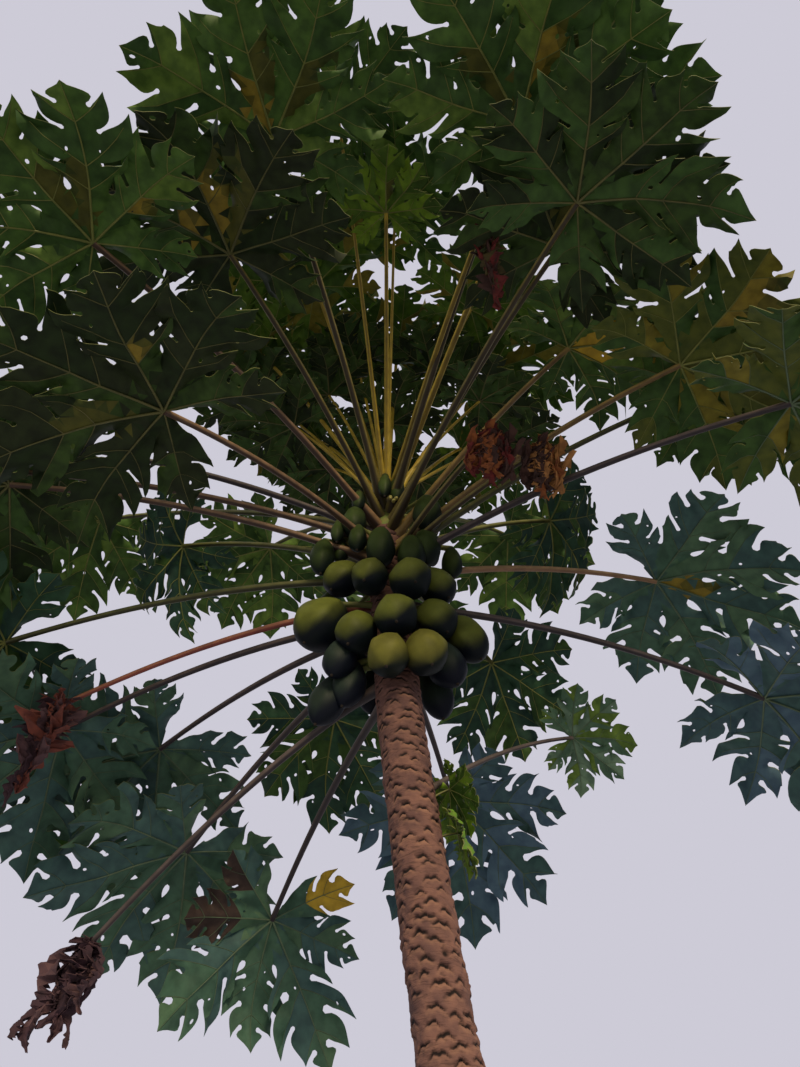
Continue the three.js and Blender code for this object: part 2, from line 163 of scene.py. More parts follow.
# leaf_01 onwards: foot height, azimuth, rise, stalk length, blade radius, nose-down angle, turn, roll, droop
LEAF_ROWS = [
    (3600, 333, 8, 912, 440, 14, 14, -6, 0.16),
    (3640, 344, 16, 1135, 440, 10, 4, 6, 0.16),
    (3560, 323, -4, 1130, 380, 14, 8, 8, 0.2),
    (3450, 322, -20, 840, 430, 16, -14, 0, 0.22),
    (3545, 287, 4, 975, 400, 26, 0, 0, 0.22),
    (3410, 292, -9, 1020, 400, 30, -14, 6, 0.25),
    (3500, 289, -7, 1080, 390, 26, 12, -4, 0.25),
    (3340, 268, -12, 1035, 420, 30, 6, 8, 0.26),
    (3180, 254, -10, 935, 410, 34, -8, -6, 0.26),
    (3150, 237, -3, 810, 430, 22, -4, 0, 0.2),
    (3110, 223, -14, 885, 430, 26, 10, 4, 0.24),
    (2940, 205, -12, 845, 380, 52, 0, 0, 0.35),
    (3400, 258, 24, 770, 330, 66, 0, 0, 0.3),
    (3590, 258, 20, 1150, 390, 28, -10, 0, 0.22),
    (3090, 166, 4, 750, 430, 30, 0, 4, 0.25),
    (3290, 195, 15, 800, 380, 44, 0, -6, 0.26),
    (3345, 151, 25, 850, 380, 44, 0, 6, 0.26),
    (3580, 28, 4, 960, 430, 12, -14, 5, 0.16),
    (3625, 17, 6, 1170, 420, 12, -10, -5, 0.18),
    (3540, 24, -4, 1090, 380, 16, 16, 4, 0.2),
    (3665, 23, 16, 1235, 430, 12, 4, 0, 0.16),
    (3500, 49, 27, 825, 350, 30, 16, 8, 0.22),
    (3460, 54, 5, 970, 420, 20, 10, -4, 0.2),
    (3420, 64, 14, 1020, 400, 28, -6, -6, 0.25),
    (3380, 56, -9, 1125, 400, 28, 6, 6, 0.24),
    (3350, 97, 8, 830, 440, 14, 4, 0, 0.18),
    (3230, 97, -13, 1005, 430, 30, -10, 6, 0.26),
    (3450, 104, 35, 705, 340, 62, 0, 0, 0.3),
    (3640, 222, 40, 980, 400, 24, 0, 5, 0.22),
    (3650, 136, 42, 960, 400, 24, 0, -5, 0.22),
    (3600, 180, 36, 980, 410, 28, 0, 0, 0.22),
]
LEAVES = [(f"leaf_{n:02d}", *row) for n, row in enumerate(LEAF_ROWS, 1)]
LEFT_LEAVES = 16  # how many of them are joined in the left-hand piece
# A name, then the same columns
YOUNG_LEAVES = [
    ("front", 3690, 0, 33, 950, 220, 8, 0, 0, 0.12),
    ("front_left", 3665, 350, 48, 1015, 370, 10, -12, 0, 0.16),
    ("left", 3720, 334, 47, 850, 370, 10, -12, 0, 0.16),
    ("front_right", 3730, 32, 45, 770, 300, 14, 0, 0, 0.16),
    ("right", 3700, 62, 56, 780, 340, 12, 0, 0, 0.16),
    ("far_left", 3700, 300, 50, 830, 370, 18, 0, 0, 0.18),
    ("upright", 3750, 8, 72, 710, 330, 8, 0, 0, 0.14),
    ("upright_left", 3740, 318, 68, 850, 340, 10, 0, 0, 0.16),
    ("back_left", 3710, 250, 66, 700, 300, 12, 0, 0, 0.16),
    ("back_right", 3690, 110, 64, 680, 300, 12, 0, 0, 0.16),
    ("back", 3740, 185, 70, 660, 280, 12, 0, 0, 0.16),
]
# heart_1 onwards: leaves that fill the heart of the crown, which the solids leave out, in the same columns
HEART_ROWS = [
    (3770, 10, 82, 430, 250, 6, 0, 0, 0.16),
    (3765, 190, 78, 560, 260, 10, 20, 0, 0.16),
    (3755, 335, 64, 620, 240, 8, 10, 0, 0.16),
    (3760, 35, 62, 600, 240, 8, -8, 0, 0.16),
    (3720, 2, 43, 1000, 350, 8, 0, 0, 0.16),
    (3690, 352, 31, 1235, 350, 6, 8, 0, 0.14),
    (3740, 150, 64, 560, 260, 10, 0, 0, 0.16),
    (3740, 232, 62, 600, 270, 10, 0, 0, 0.16),
    (3700, 290, 46, 500, 270, 14, 0, 0, 0.16),
    (3710, 284, 50, 760, 280, 12, 14, 0, 0.16),
    (3750, 90, 44, 600, 250, 12, 0, 0, 0.16),
    (3760, 60, 44, 520, 230, 10, -10, 0, 0.16),
    (3750, 310, 58, 520, 240, 10, 10, 0, 0.16),
]
HEART_LEAVES = [(f"heart_{n}", *row) for n, row in enumerate(HEART_ROWS, 1)]
SHOOT = ("side_shoot", 2600, 106, 33, 495, 160, 14, -34, -38, 0.15)
# Small leaves round the foot of the shoot, in the same columns
SMALL_LEAVES = [
    ("small_1", 2570, 96, 40, 105, 112, 56, 20, 0, 0.15),
    ("small_2", 2490, 104, 30, 100, 100, 64, -20, 0, 0.15),
]
# [name, foot height, azimuth, rise, stalk length, hanging length, width, azimuth of its lean, degrees of
# lean, strips, greatest width of a strip]
WITHERED = [
    ("withered_leaf_1", 3240, 261, -16, 890, 300, 36, 230, 14, 7, 62),
    ("withered_leaf_2", 2960, 240, -29, 935, 250, 190, 276, 8, 9, 40),
    ("withered_leaf_3", 3405, 47, 1, 565, 165, 170, 195, 24, 20, 42),
    ("withered_leaf_3_left", 3405, 32, -1, 515, 165, 190, 195, 24, 20, 40),
    ("withered_leaf_4", 3705, 16, -1, 920, 280, 50, 165, 36, 7, 34),
]
# Points along and across each dried strip, and half its thickness
DRY_ROWS = 44
DRY_COLUMNS = 9
DRY_HALF_THICK = 0.8

# Fruit: azimuth, height of the middle, distance of the middle from the trunk's axis, length, width, splay
FRUIT = [
    (280, 3128, 182, 165, 136, 48),
    (290, 3300, 132, 130, 100, 45),
    (336, 3222, 122, 125, 100, 45),
    (250, 3270, 188, 145, 92, 50),
    (314, 3034, 124, 130, 104, 35),
    (3, 3051, 124, 130, 110, 40),
    (350, 2925, 116, 130, 104, 25),
    (33, 2945, 124, 135, 108, 28),
    (22, 3195, 134, 130, 112, 48),
    (62, 3240, 140, 145, 98, 45),
    (58, 3100, 130, 135, 104, 40),
    (86, 3090, 188, 155, 102, 45),
    (350, 3358, 112, 130, 100, 45),
    (80, 2990, 124, 145, 100, 25),
    (128, 3007, 122, 150, 98, 20),
    (262, 2915, 165, 150, 92, 26),
    (247, 3050, 122, 130, 88, 14),
    (205, 3030, 122, 130, 90, 15),
    (32, 3335, 122, 120, 90, 42),
    (222, 3265, 128, 135, 92, 38),
    (184, 3170, 124, 140, 92, 30),
    (146, 3225, 128, 140, 92, 34),
    (115, 3135, 134, 140, 94, 34),
]
YOUNG_FRUIT = [
    (268, 3600, 110, 105, 66, 40),
    (358, 3690, 105, 95, 52, 30),
    (85, 3580, 120, 110, 66, 42),
    (200, 3600, 96, 92, 60, 30),
]
# Very young fruit among the feet of the stalks, finer than the solids show, in the same columns
BUD_FRUIT = [
    (314, 3510, 130, 110, 86, 50),
    (20, 3688, 100, 110, 58, 40),
    (48, 3530, 165, 130, 100, 50),
    (322, 3405, 135, 90, 66, 45),
    (322, 3600, 135, 75, 50, 40),
    (300, 3470, 165, 80, 46, 55),
    (55, 3400, 135, 125, 100, 45),
    (90, 3430, 190, 110, 70, 45),
    (285, 3440, 140, 90, 60, 40),
    (290, 3370, 195, 120, 84, 45),
    (100, 3500, 140, 80, 46, 50),
    (240, 3480, 140, 80, 46, 50),
]
# Flower buds among the feet of the youngest stalks, in the same columns
FLOWER_BUDS = [
    (14, 3664, 92, 34, 15, 50),
    (24, 3652, 98, 30, 14, 70),
    (8, 3636, 96, 32, 14, 30),
    (17, 3622, 104, 30, 13, 60),
    (27, 3612, 100, 30, 14, 80),
    (12, 3600, 108, 28, 13, 60),
    (338, 3652, 82, 24, 10, 50),
    (332, 3640, 88, 20, 9, 70),
    (120, 3650, 86, 24, 10, 50),
    (224, 3655, 86, 24, 10, 60),
]
# More fruit behind the lowest, in the same columns
HIND_FRUIT = [
    (290, 2985, 140, 130, 86, 20),
    (270, 2940, 115, 130, 84, 14),
    (120, 2960, 118, 130, 84, 14),
]
FRUIT_SIDES = 30
FRUIT_STEPS = 22
FRUIT_WIDEST = 0.6
# Share of the splay that the finer fruit keeps, at the sides and in front, and how it is drawn out in
# length and width
FRUIT_HANG = {
    "full": (0.5, 0.72, 1.14, 1.0),
    "ripe": (0.5, 0.8, 1.1, 0.98),
    "shaded": (0.8, 0.8, 1.16, 0.95),
    "small": (0.0, 0.0, 1.35, 0.86),
}
FRUIT_LEAST_SIZE = 0.985  # the drawn size of the smallest fruit, as a share of the table's
FRUIT_STALK_RADIUS = 8
FRUIT_STALK_SIDES = 8
FRUIT_STALK_RISE = 14
FRUIT_STALK_FOOT = 26

UP = np.array([0.0, 0.0, 1.0])

# Depth of the finest bump in metres, and how dark the blotches of a painted lit side are
FINE_BUMP = 0.002
PAINTED_LIT_BLOTCH = 0.78
# Finishes: scale of the blotches, how far they take the second colour, roughness and strength of the bump
BARK_FINISH = (22.0, 0.9, 0.9, 0.9)
LEAF_FINISH = (30.0, 0.9, 0.6, 0.5)
STALK_FINISH = (26.0, 0.7, 0.5, 0.3)
RIB_FINISH = (30.0, 0.6, 0.5, 0.2)
TIP_FINISH = (40.0, 0.7, 0.6, 0.4)
FRUIT_FINISH = (14.0, 0.8, 0.5, 0.3)
FRUIT_STALK_FINISH = (30.0, 0.7, 0.6, 0.3)
BUD_FINISH = (60.0, 0.7, 0.6, 0.3)
BLOSSOM_SCAR_FINISH = (60.0, 0.8, 0.9, 0.5)
DRY_FINISH = (40.0, 0.9, 0.85, 0.8)
FLOOR_FINISH = (1.5, 0.6, 0.9, 0.0)


# Small helpers


def chance(seed):
    """A fixed number between 0 and 1 for each seed."""
    wave = math.sin(seed * 12.9898) * 43758.5453
    return wave - math.floor(wave)


def heading(azimuth, rise=0):
    """Unit vector at an azimuth, raised out of the level."""
    level = math.cos(math.radians(rise))
    turn = math.radians(azimuth)
    return np.array([math.sin(turn) * level, -math.cos(turn) * level, math.sin(math.radians(rise))])


def smooth(value, low, high):
    """Rises from 0 at low to 1 at high, which may also be the smaller."""
    share = np.clip((value - low) / (high - low), 0, 1)
    return share * share * (3 - 2 * share)


def hump(value):
    """Falls off smoothly on both sides from 1 at zero."""
    return np.exp(-(value**2))


def trunk_axis(height):
    return np.array([LEAN * float(smooth(height, 0, LEAN_HEIGHT)), 0.0, height])


def quadratic(start, middle, end, steps):
    t = np.linspace(0, 1, steps + 1)[:, None]
    return (1 - t) ** 2 * start + 2 * (1 - t) * t * middle + t**2 * end


def cubic(start, leave, arrive, end, steps):
    t = np.linspace(0, 1, steps + 1)[:, None]
    a = (1 - t) ** 3 * start + 3 * (1 - t) ** 2 * t * leave
    return a + 3 * (1 - t) * t**2 * arrive + t**3 * end


def stalk_line(foot, azimuth, rise, length):
    start = trunk_axis(foot)
    end = start + length * heading(azimuth, rise)
    middle = (start + end) / 2 + 2 * STALK_ARCH * length * UP
    return quadratic(start, middle, end, STALK_STEPS)


def by_leaf(numbers_by_kind):
    """The kind of each leaf, from the numbers of the leaves of each kind."""
    return {f"leaf_{n:02d}": kind for kind, numbers in numbers_by_kind.items() for n in numbers}


def turned(vector, axis, angle):
    return np.array(Matrix.Rotation(math.radians(angle), 3, Vector(axis)) @ Vector(vector))


def blade_frame(azimuth, nose, turn, roll):
    forward = heading(azimuth + turn, -nose)
    side = heading(azimuth + turn + 90)
    face = np.cross(forward, side)
    return forward, turned(side, forward, roll), turned(face, forward, roll)


# Materials


def colour(red, green, blue):
    """A colour of the photograph's kind, 0 to 255, as linear light."""
    parts = [c / 255 for c in (red, green, blue)]
    return tuple(c / 12.92 if c <= 0.04045 else ((c + 0.055) / 1.055) ** 2.4 for c in parts) + (1.0,)


def add_node(tree, kind, sockets=None, **properties):
    """A new node with its properties and its sockets' values set."""
    node = tree.nodes.new(kind)
    for name, value in properties.items():
        setattr(node, name, value)
    for name, value in (sockets or {}).items():
        node.inputs[name].default_value = value
    return node


def wire(tree, *wires):
    """Links, each given as (node, output, node, input)."""
    for source, output, target, entry in wires:
        tree.links.new(source.outputs[output], target.inputs[entry])


def new_group(name, kind, inputs, outputs):
    """A node group, with inputs as (name, kind, value) and outputs as (name, kind)."""
    group = bpy.data.node_groups.new(name, kind)
    for label, socket_kind, value in inputs:
        socket = group.interface.new_socket(label, in_out="INPUT", socket_type="NodeSocket" + socket_kind)
        if value is not None:
            socket.default_value = value
    for label, socket_kind in outputs:
        group.interface.new_socket(label, in_out="OUTPUT", socket_type="NodeSocket" + socket_kind)
    return group, group.nodes.new("NodeGroupInput"), group.nodes.new("NodeGroupOutput")


def mottling():
    """Soft blotches of a second colour, and a height that goes with them."""
    inputs = [
        ("Vector", "Vector", None), ("Base", "Color", (0.1, 0.1, 0.1, 1)),
        ("Blotch", "Color", (0.05, 0.05, 0.05, 1)), ("Scale", "Float", 8.0), ("Detail", "Float", 4.0),
        ("Spread", "Float", 0.5),
    ]
    outputs = [("Color", "Color"), ("Height", "Float")]
    group, given, result = new_group("mottling", "ShaderNodeTree", inputs, outputs)
    noise = add_node(group, "ShaderNodeTexNoise")
    ramp = add_node(group, "ShaderNodeMapRange", {"From Min": 0.35, "From Max": 0.65})
    blend = add_node(group, "ShaderNodeMix", data_type="RGBA")
    wire(
        group,
        (given, "Vector", noise, "Vector"), (given, "Scale", noise, "Scale"),
        (given, "Detail", noise, "Detail"), (noise, "Fac", ramp, "Value"),
        (given, "Spread", ramp, "To Max"), (ramp, "Result", blend, "Factor"),
        (given, "Base", blend, "A"), (given, "Blotch", blend, "B"),
        (blend, "Result", result, "Color"), (noise, "Fac", result, "Height"),
    )
    return group


def painted_light_sides():
    """Painted shade in one colour and painted light in another, on the side that the painted_light_side
    attribute marks.
    """
    inputs = [("Painted Shade", "Color", (0.05, 0.05, 0.05, 1)), ("Painted Light", "Color", (0.2, 0.2, 0.2, 1))]
    group, given, result = new_group("painted_light_sides", "ShaderNodeTree", inputs, [("Color", "Color")])
    side = add_node(group, "ShaderNodeAttribute", attribute_name="painted_light_side")
    blend = add_node(group, "ShaderNodeMix", data_type="RGBA")
    wire(
        group,
        (side, "Fac", blend, "Factor"), (given, "Painted Shade", blend, "A"), (given, "Painted Light", blend, "B"),
        (blend, "Result", result, "Color"),
    )
    return group


MOTTLING = mottling()
PAINTED_LIGHT_SIDES = painted_light_sides()


def surface(
    name, base, blotch, scale, spread, roughness, bump, coordinates="Object", painted_lit=None, gloss=0.3
):
    """A Principled material with mottled colour and a fine bump. Where the painted_light_side attribute is
    high, as it is on faces that look up to the light, the colour goes over to painted_lit, so that light and
    shade are painted into the colour."""
    material = bpy.data.materials.new(name)
    material.use_nodes = True
    material.diffuse_color = colour(*base)
    tree = material.node_tree
    shader = tree.nodes["Principled BSDF"]
    shader.inputs["Roughness"].default_value = roughness
    shader.inputs["Specular IOR Level"].default_value = gloss
    where = add_node(tree, "ShaderNodeTexCoord")

    def mottled(first, second, size, share):
        values = {"Base": colour(*first), "Blotch": colour(*second), "Scale": size, "Spread": share}
        node = add_node(tree, "ShaderNodeGroup", values, node_tree=MOTTLING)
        wire(tree, (where, coordinates, node, "Vector"))
        return node

    blotches = mottled(base, blotch, scale, spread)
    relief = add_node(tree, "ShaderNodeBump", {"Strength": bump, "Distance": FINE_BUMP})
    painted = blotches
    if painted_lit is not None:
        painted = add_node(tree, "ShaderNodeGroup", node_tree=PAINTED_LIGHT_SIDES)
        # Painted light: a lighter, mottled colour for the faces turned to the light
        painted_light = mottled(painted_lit, [PAINTED_LIT_BLOTCH * c for c in painted_lit], 1.3 * scale, 0.9)
        wire(tree, (painted_light, "Color", painted, "Painted Light"), (blotches, "Color", painted, "Painted Shade"))
    wire(
        tree,
        (painted, "Color", shader, "Base Color"), (blotches, "Height", relief, "Height"),
        (relief, "Normal", shader, "Normal"),
    )
    return material


def bark_material():
    """Tan bark with fine cracks round the trunk, painted darker as shade. Attributes place the painted shade
    of its creases and the painted highlight of the bands below them.
    """
    material = surface("bark", (107, 77, 68), (78, 56, 54), *BARK_FINISH)
    tree = material.node_tree
    where, blotches, relief, shader = (
        tree.nodes[name] for name in ("Texture Coordinate", "Group", "Bump", "Principled BSDF")
    )
    crease_shade = add_node(tree, "ShaderNodeAttribute", attribute_name="crease_shade")
    raised = add_node(tree, "ShaderNodeAttribute", attribute_name="raised")
    edge = add_node(tree, "ShaderNodeMapRange", {"From Min": 0.28, "From Max": 0.85})
    # Painted highlight on the band just under each crease
    band_highlight_mix = add_node(tree, "ShaderNodeMix", data_type="RGBA")
    band_highlight_mix.inputs["B"].default_value = colour(136, 102, 82)
    flat = add_node(tree, "ShaderNodeMapping", {"Scale": (38, 38, 150)})
    cracks = add_node(tree, "ShaderNodeTexNoise", {"Scale": 1.0, "Detail": 6.0, "Distortion": 0.8})
    cut = add_node(tree, "ShaderNodeMapRange", {"From Min": 0.46, "From Max": 0.34, "To Max": 0.4})
    most = add_node(tree, "ShaderNodeMath", operation="MAXIMUM")
    # Painted shade in the creases, knots and fine cracks
    crease_shade_mix = add_node(tree, "ShaderNodeMix", data_type="RGBA")
    crease_shade_mix.inputs["B"].default_value = colour(18, 9, 8)
    rough = add_node(tree, "ShaderNodeBump", {"Strength": 0.9, "Distance": 0.004})
    wire(
        tree,
        (where, "Object", flat, "Vector"), (flat, "Vector", cracks, "Vector"), (cracks, "Fac", cut, "Value"),
        (crease_shade, "Fac", edge, "Value"), (edge, "Result", most, 0), (cut, "Result", most, 1),
        (most, "Value", crease_shade_mix, "Factor"), (raised, "Fac", band_highlight_mix, "Factor"),
        (blotches, "Color", band_highlight_mix, "A"), (band_highlight_mix, "Result", crease_shade_mix, "A"),
        (crease_shade_mix, "Result", shader, "Base Color"), (cracks, "Fac", rough, "Height"),
        (relief, "Normal", rough, "Normal"), (rough, "Normal", shader, "Normal"),
    )
    return material


# Base and blotches of the blades' undersides
UNDERSIDES = {
    "dark": ((50, 73, 29), (29, 45, 18)),
    "deep": ((30, 46, 19), (17, 28, 11)),
    "night": ((36, 47, 23), (22, 30, 14)),
    "mid": ((72, 102, 44), (48, 72, 32)),
    "green": ((56, 84, 38), (38, 60, 28)),
    "leafy": ((94, 120, 50), (64, 88, 36)),
    "blue": ((66, 98, 80), (52, 78, 64)),
    "slate": ((62, 92, 88), (50, 74, 74)),
    "teal": ((76, 106, 80), (60, 86, 68)),
    "dusk": ((74, 100, 114), (58, 80, 98)),
    "haze": ((62, 90, 94), (48, 70, 80)),
    "pine": ((44, 76, 54), (32, 56, 40)),
    "spruce": ((38, 66, 54), (28, 50, 44)),
    "warm": ((80, 88, 34), (56, 68, 28)),
    "gold": ((112, 106, 36), (84, 80, 28)),
    "shoot": ((94, 120, 98), (74, 98, 80)),
    "bright": ((104, 134, 34), (76, 106, 26)),
    "light": ((76, 104, 30), (50, 78, 22)),
    "fresh": ((58, 86, 26), (38, 60, 18)),
}
LEAF_LOOKS = {"underside_" + name: look for name, look in UNDERSIDES.items()} | {
    # rim: a painted highlight for the blades' edges
    "rim": ((104, 108, 62), (70, 78, 40)),
    "upper_face": ((46, 78, 30), (32, 58, 24)),
    "upper_light": ((88, 122, 40), (66, 98, 32)),
    "patch_ochre": ((132, 116, 42), (100, 88, 34)),
    "patch_tan": ((98, 92, 36), (74, 70, 28)),
    "patch_olive": ((76, 78, 30), (56, 60, 24)),
    "patch_moss": ((58, 68, 28), (42, 52, 20)),
    "patch_lemon": ((182, 154, 50), (146, 124, 44)),
    "patch_brown": ((58, 47, 42), (44, 36, 34)),
}
LEAF_SLOTS = list(LEAF_LOOKS)


# Pieces


def link_object(name, data):
    piece = bpy.data.objects.new(name, data)
    bpy.context.scene.collection.objects.link(piece)
    return piece


def mesh_from(name, points, faces, materials, which=None, uv=None, sharp=None):
    """A mesh of triangles or quads. Points are in millimetres."""
    mesh = bpy.data.meshes.new(name)
    faces = np.asarray(faces, np.int32)
    corners = faces.shape[1]
    mesh.vertices.add(len(points))
    mesh.vertices.foreach_set("co", (np.asarray(points) * MM).astype(np.float32).ravel())
    mesh.loops.add(faces.size)
    mesh.loops.foreach_set("vertex_index", faces.ravel())
    mesh.polygons.add(len(faces))
    mesh.polygons.foreach_set("loop_start", np.arange(len(faces), dtype=np.int32) * corners)
    for material in materials:
        mesh.materials.append(material)
    if which is not None:
        mesh.polygons.foreach_set("material_index", np.asarray(which, np.int32))
    mesh.update(calc_edges=True)
    mesh.shade_smooth()
    if uv is not None:
        layer = mesh.uv_layers.new(name="UVMap")
        layer.data.foreach_set("uv", np.asarray(uv, np.float32)[faces.ravel()].ravel())
    if sharp is not None:
        mesh.set_sharp_from_angle(angle=math.radians(sharp))
    return mesh


def store(mesh, label, values, kind="FLOAT"):
    """Keeps a number or vector for each point of a mesh."""
    layer = mesh.attributes.new(label, kind, "POINT")
    layer.data.foreach_set("value" if kind == "FLOAT" else "vector", np.array(values, np.float32).ravel())


def paint_light_side(piece, toward, low, high):
    """Stores, for each point, how far its face is turned to a direction: where painted light goes over to
    painted shade.
    """
    mesh = piece.data
    count = len(mesh.vertices)
    normals = np.zeros(count * 3, np.float32)
    mesh.vertex_normals.foreach_get("vector", normals)
    facing = normals.reshape(-1, 3) @ np.array(toward)
    store(mesh, "painted_light_side", smooth(facing, low, high))


def finish_piece(piece, slot, *nodes):
    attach(piece, "root")
    if nodes:
        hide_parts(*nodes)


def closed_rings(rings, sides):
    """Triangles round rings of points that run upwards, with caps to a lowest and a highest point that follow
    the rings' own points."""
    start = np.arange(rings - 1)[:, None] * sides
    here = np.arange(sides)
    after = (here + 1) % sides
    a, b = (start + here).ravel(), (start + after).ravel()
    walls = [np.stack([a, b, b + sides], 1), np.stack([a, b + sides, a + sides], 1)]
    low, top = np.full(sides, rings * sides), (rings - 1) * sides
    caps = np.stack([low, after, here, low + 1, top + here, top + after], 1).reshape(-1, 3)
    return np.concatenate([*walls, caps])


# Geometry Nodes trees


def tube_tree():
    """Tapering tubes of a named number of sides along every line of the carrier."""
    inputs = [
        ("Geometry", "Geometry", None), ("Sides", "Int", 8), ("Thickness", "Float", 1.0),
        ("Material", "Material", None),
    ]
    tree, given, result = new_group("tubes", "GeometryNodeTree", inputs, [("Geometry", "Geometry")])
    line = add_node(tree, "GeometryNodeMeshToCurve")
    section = add_node(tree, "GeometryNodeCurvePrimitiveCircle", {"Radius": 1.0})
    sweep = add_node(tree, "GeometryNodeCurveToMesh", {"Fill Caps": True})
    radius = add_node(tree, "GeometryNodeInputNamedAttribute", {"Name": "radius_here"}, data_type="FLOAT")
    scaled = add_node(tree, "ShaderNodeMath", operation="MULTIPLY")
    rounded = add_node(tree, "GeometryNodeSetShadeSmooth")
    realized = add_node(tree, "GeometryNodeRealizeInstances")
    painted = add_node(tree, "GeometryNodeSetMaterial")
    wire(
        tree,
        (given, "Geometry", line, "Mesh"), (given, "Sides", section, "Resolution"),
        (line, "Curve", sweep, "Curve"), (section, "Curve", sweep, "Profile Curve"),
        (radius, "Attribute", scaled, 0), (given, "Thickness", scaled, 1), (scaled, "Value", sweep, "Scale"),
        (sweep, "Mesh", rounded, "Geometry"), (rounded, "Geometry", realized, "Geometry"),
        (realized, "Geometry", painted, "Geometry"), (given, "Material", painted, "Material"),
        (painted, "Geometry", result, "Geometry"),
    )
    return tree


def scatter_tree():
    """Copies of a shape on every point of the carrier, turned and sized by its attributes."""
    inputs = [
        ("Geometry", "Geometry", None), ("Shape", "Object", None), ("Least Size", "Float", 1.0),
        ("Greatest Size", "Float", 1.0), ("Seed", "Int", 4), ("Material", "Material", None),
    ]
    tree, given, result = new_group("scatter", "GeometryNodeTree", inputs, [("Geometry", "Geometry")])
    shape = add_node(tree, "GeometryNodeObjectInfo")
    turn = add_node(tree, "GeometryNodeInputNamedAttribute", {"Name": "turn"}, data_type="FLOAT_VECTOR")
    size = add_node(tree, "GeometryNodeInputNamedAttribute", {"Name": "size"}, data_type="FLOAT_VECTOR")
    drawn = add_node(tree, "FunctionNodeRandomValue", data_type="FLOAT")
    sized = add_node(tree, "ShaderNodeVectorMath", operation="SCALE")
    copies = add_node(tree, "GeometryNodeInstanceOnPoints")
    realized = add_node(tree, "GeometryNodeRealizeInstances")
    painted = add_node(tree, "GeometryNodeSetMaterial")
    wire(
        tree,
        (given, "Shape", shape, "Object"), (given, "Least Size", drawn, "Min"),
        (given, "Greatest Size", drawn, "Max"), (given, "Seed", drawn, "Seed"),
        (drawn, "Value", sized, "Scale"), (size, "Attribute", sized, 0),
        (given, "Geometry", copies, "Points"), (shape, "Geometry", copies, "Instance"),
        (turn, "Attribute", copies, "Rotation"), (sized, "Vector", copies, "Scale"),
        (copies, "Instances", realized, "Geometry"), (realized, "Geometry", painted, "Geometry"),
        (given, "Material", painted, "Material"), (painted, "Geometry", result, "Geometry"),
    )
    return tree


TUBES = tube_tree()
SCATTER = scatter_tree()


def grown(name, tree, carrier, values):
    """The mesh that a Geometry Nodes tree makes from a carrier, as an object of its own."""
    source = link_object(name + "_carrier", carrier)
    modifier = source.modifiers.new(tree.name, "NODES")
    modifier.node_group = tree
    for item in tree.interface.items_tree:
        if item.in_out == "INPUT" and item.name in values:
            modifier[item.identifier] = values[item.name]
    bpy.context.view_layer.update()
    depsgraph = bpy.context.evaluated_depsgraph_get()
    mesh = bpy.data.meshes.new_from_object(source.evaluated_get(depsgraph))
    source.modifiers.remove(modifier)
    bpy.data.objects.remove(source)
    mesh.name = name
    return link_object(name, mesh)


def line_carrier(name, lines):
    """A mesh of edges only. Each line is (points, radii), in millimetres."""
    points = np.concatenate([line for line, _ in lines]) * MM
    radii = np.concatenate([r for _, r in lines]) * MM
    starts = set(np.cumsum([len(line) for line, _ in lines]).tolist())
    edges = [(i, i + 1) for i in range(len(points) - 1) if i + 1 not in starts]
    mesh = bpy.data.meshes.new(name)
    mesh.from_pydata(points.tolist(), edges, [])
    store(mesh, "radius_here", radii)
    return mesh


def point_carrier(name, places, turns, sizes):
    mesh = bpy.data.meshes.new(name)
    mesh.from_pydata((np.array(places) * MM).tolist(), [], [])
    store(mesh, "turn", turns, "FLOAT_VECTOR")
    store(mesh, "size", sizes, "FLOAT_VECTOR")
    return mesh


def tubes(name, lines, sides, material):
    return grown(name, TUBES, line_carrier(name, lines), {"Sides": sides, "Material": material})


# Trunk


def ring_directions(sides):
    """Azimuths in radians all round, and the level unit vectors that point there."""
    turn = np.linspace(0, 2 * np.pi, sides, endpoint=False)
    return turn, np.stack([np.sin(turn), -np.cos(turn), np.zeros(sides)], 1)


def trunk_ring(height, extra):
    turn, out = ring_directions(BARK_COLUMNS)
    taper = GROUND_RADIUS + (CROWN_RADIUS - GROUND_RADIUS) * height / TRUNK_TOP
    flare = math.exp(-height / FLARE_HEIGHT)
    ridge = 1 + ROOT_RIDGE_DEPTH * flare * np.cos(ROOT_RIDGES * turn)
    radius = (taper + FLARE * flare) * ridge + extra
    return trunk_axis(height) + out * radius[:, None]


def lumps(heights, size, seed):
    """Smooth random numbers between -1 and 1 over the bark, alike at both edges of the unrolled sheet."""
    cells = max(3, round(BARK_AROUND / size))
    values = np.random.default_rng(seed).uniform(-1, 1, (int(TRUNK_TOP / size) + 3, cells))
    y, x = heights / size, np.arange(BARK_COLUMNS) / BARK_COLUMNS * cells
    r, c = y.astype(int), x.astype(int)
    fy, fx = smooth(y - r, 0, 1)[:, None], smooth(x - c, 0, 1)[None, :]
    rows = values[:, c] * (1 - fx) + values[:, (c + 1) % cells] * fx
    return rows[r] * (1 - fy) + rows[r + 1] * fy


